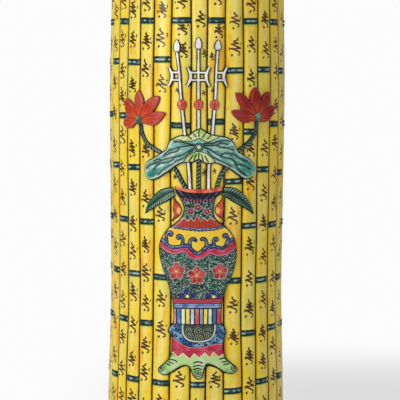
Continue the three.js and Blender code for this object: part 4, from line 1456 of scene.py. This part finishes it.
light_path = Field("LightPath")
seen = light_path["Is Camera Ray"].math("MAXIMUM", light_path["Is Transmission Ray"])
# For camera rays the floor glows an even white, greyed by a painted shadow of the pot to its right that
# fades out behind it.
on_floor = Field("SeparateXYZ", {0: place})
painted_shadow = on_floor["Y"].fade(0.27, 0.04) * on_floor["X"].fade(-0.12, 0.1)
grey = painted_shadow.mix((252, 252, 252), (220, 220, 221))
pale = Field("BsdfDiffuse", {"Color": (236, 236, 236)})
seen_floor_with_painted_shadow = Field("Emission", {"Color": grey})
floor_material = bpy.data.materials.new("Studio_floor")
shade(floor_material, "OutputMaterial", Field("MixShader", {0: seen, 1: pale, 2: seen_floor_with_painted_shadow}))
floor_mesh = bpy.data.meshes.new("floor")
floor_corners = [(FLOOR_REACH * x, FLOOR_REACH * y, 0) for x, y in ((-1, -1), (1, -1), (1, 1), (-1, 1))]
floor_mesh.from_pydata(floor_corners, [], [(0, 1, 2, 3)])
floor_mesh.materials.append(floor_material)
floor = bpy.data.objects.new("floor", floor_mesh)
bpy.context.scene.collection.objects.link(floor)
floor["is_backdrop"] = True

world = bpy.data.worlds.new("Studio")
bpy.context.scene.world = world
ambient = Field("Background", {"Color": (250, 250, 252), "Strength": 0.36})
white = Field("Background", {"Color": (252, 252, 252), "Strength": 1.0})
shade(world, "OutputWorld", Field("MixShader", {0: seen, 1: ambient, 2: white}))


def soft_light(name, place, size, power):
    """Rectangular light at a place in metres, turned to the middle of the pot."""
    lamp = bpy.data.lights.new(name, "AREA")
    lamp.shape = "RECTANGLE"
    lamp.size, lamp.size_y = size
    lamp.energy = power
    light = bpy.data.objects.new(name, lamp)
    bpy.context.scene.collection.objects.link(light)
    light.location = place
    towards = np.array(LIGHT_TARGET) - np.array(place)
    across = math.atan2(towards[1], towards[0])
    down = math.atan2(towards[2], math.hypot(towards[0], towards[1]))
    light.rotation_euler = (math.pi / 2 + down, 0, across - math.pi / 2)
    light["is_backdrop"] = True


soft_light("key_light", (-0.9, -1.1, 0.6), (0.7, 1.0), 13.5)
soft_light("fill_light", (1.0, -1.2, 0.3), (0.8, 0.8), 3.2)
soft_light("top_light", (0.0, 0.2, 1.4), (1.2, 1.2), 5)

camera_data = bpy.data.cameras.new("camera")
camera_data.lens = CAMERA_LENS
camera_data.sensor_width = 36
camera_data.shift_x = CAMERA_SHIFT / PICTURE_WIDTH
camera = bpy.data.objects.new("camera", camera_data)
camera.location = (0, -CAMERA_DISTANCE, CAMERA_HEIGHT)
camera.rotation_euler = (math.radians(90 - CAMERA_PITCH), math.radians(CAMERA_ROLL), 0)
bpy.context.scene.collection.objects.link(camera)
bpy.context.scene.camera = camera
bpy.context.scene.view_settings.view_transform = "Standard"
bpy.context.scene.render.film_transparent = False
print("camera at", tuple(round(c, 3) for c in camera.location))

# %% Size of the finished pot
visual_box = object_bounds()
sizes = {"cad": [list(corner) for corner in cad_box], "visual": [list(corner) for corner in visual_box]}
print("visual box in mm:", [[round(c / MM, 1) for c in corner] for corner in sizes["visual"]])
meshes = [piece.data for piece in bpy.data.objects if piece.type == "MESH"]
print("triangles in all:", sum(len(mesh.loops) - 2 * len(mesh.polygons) for mesh in meshes))
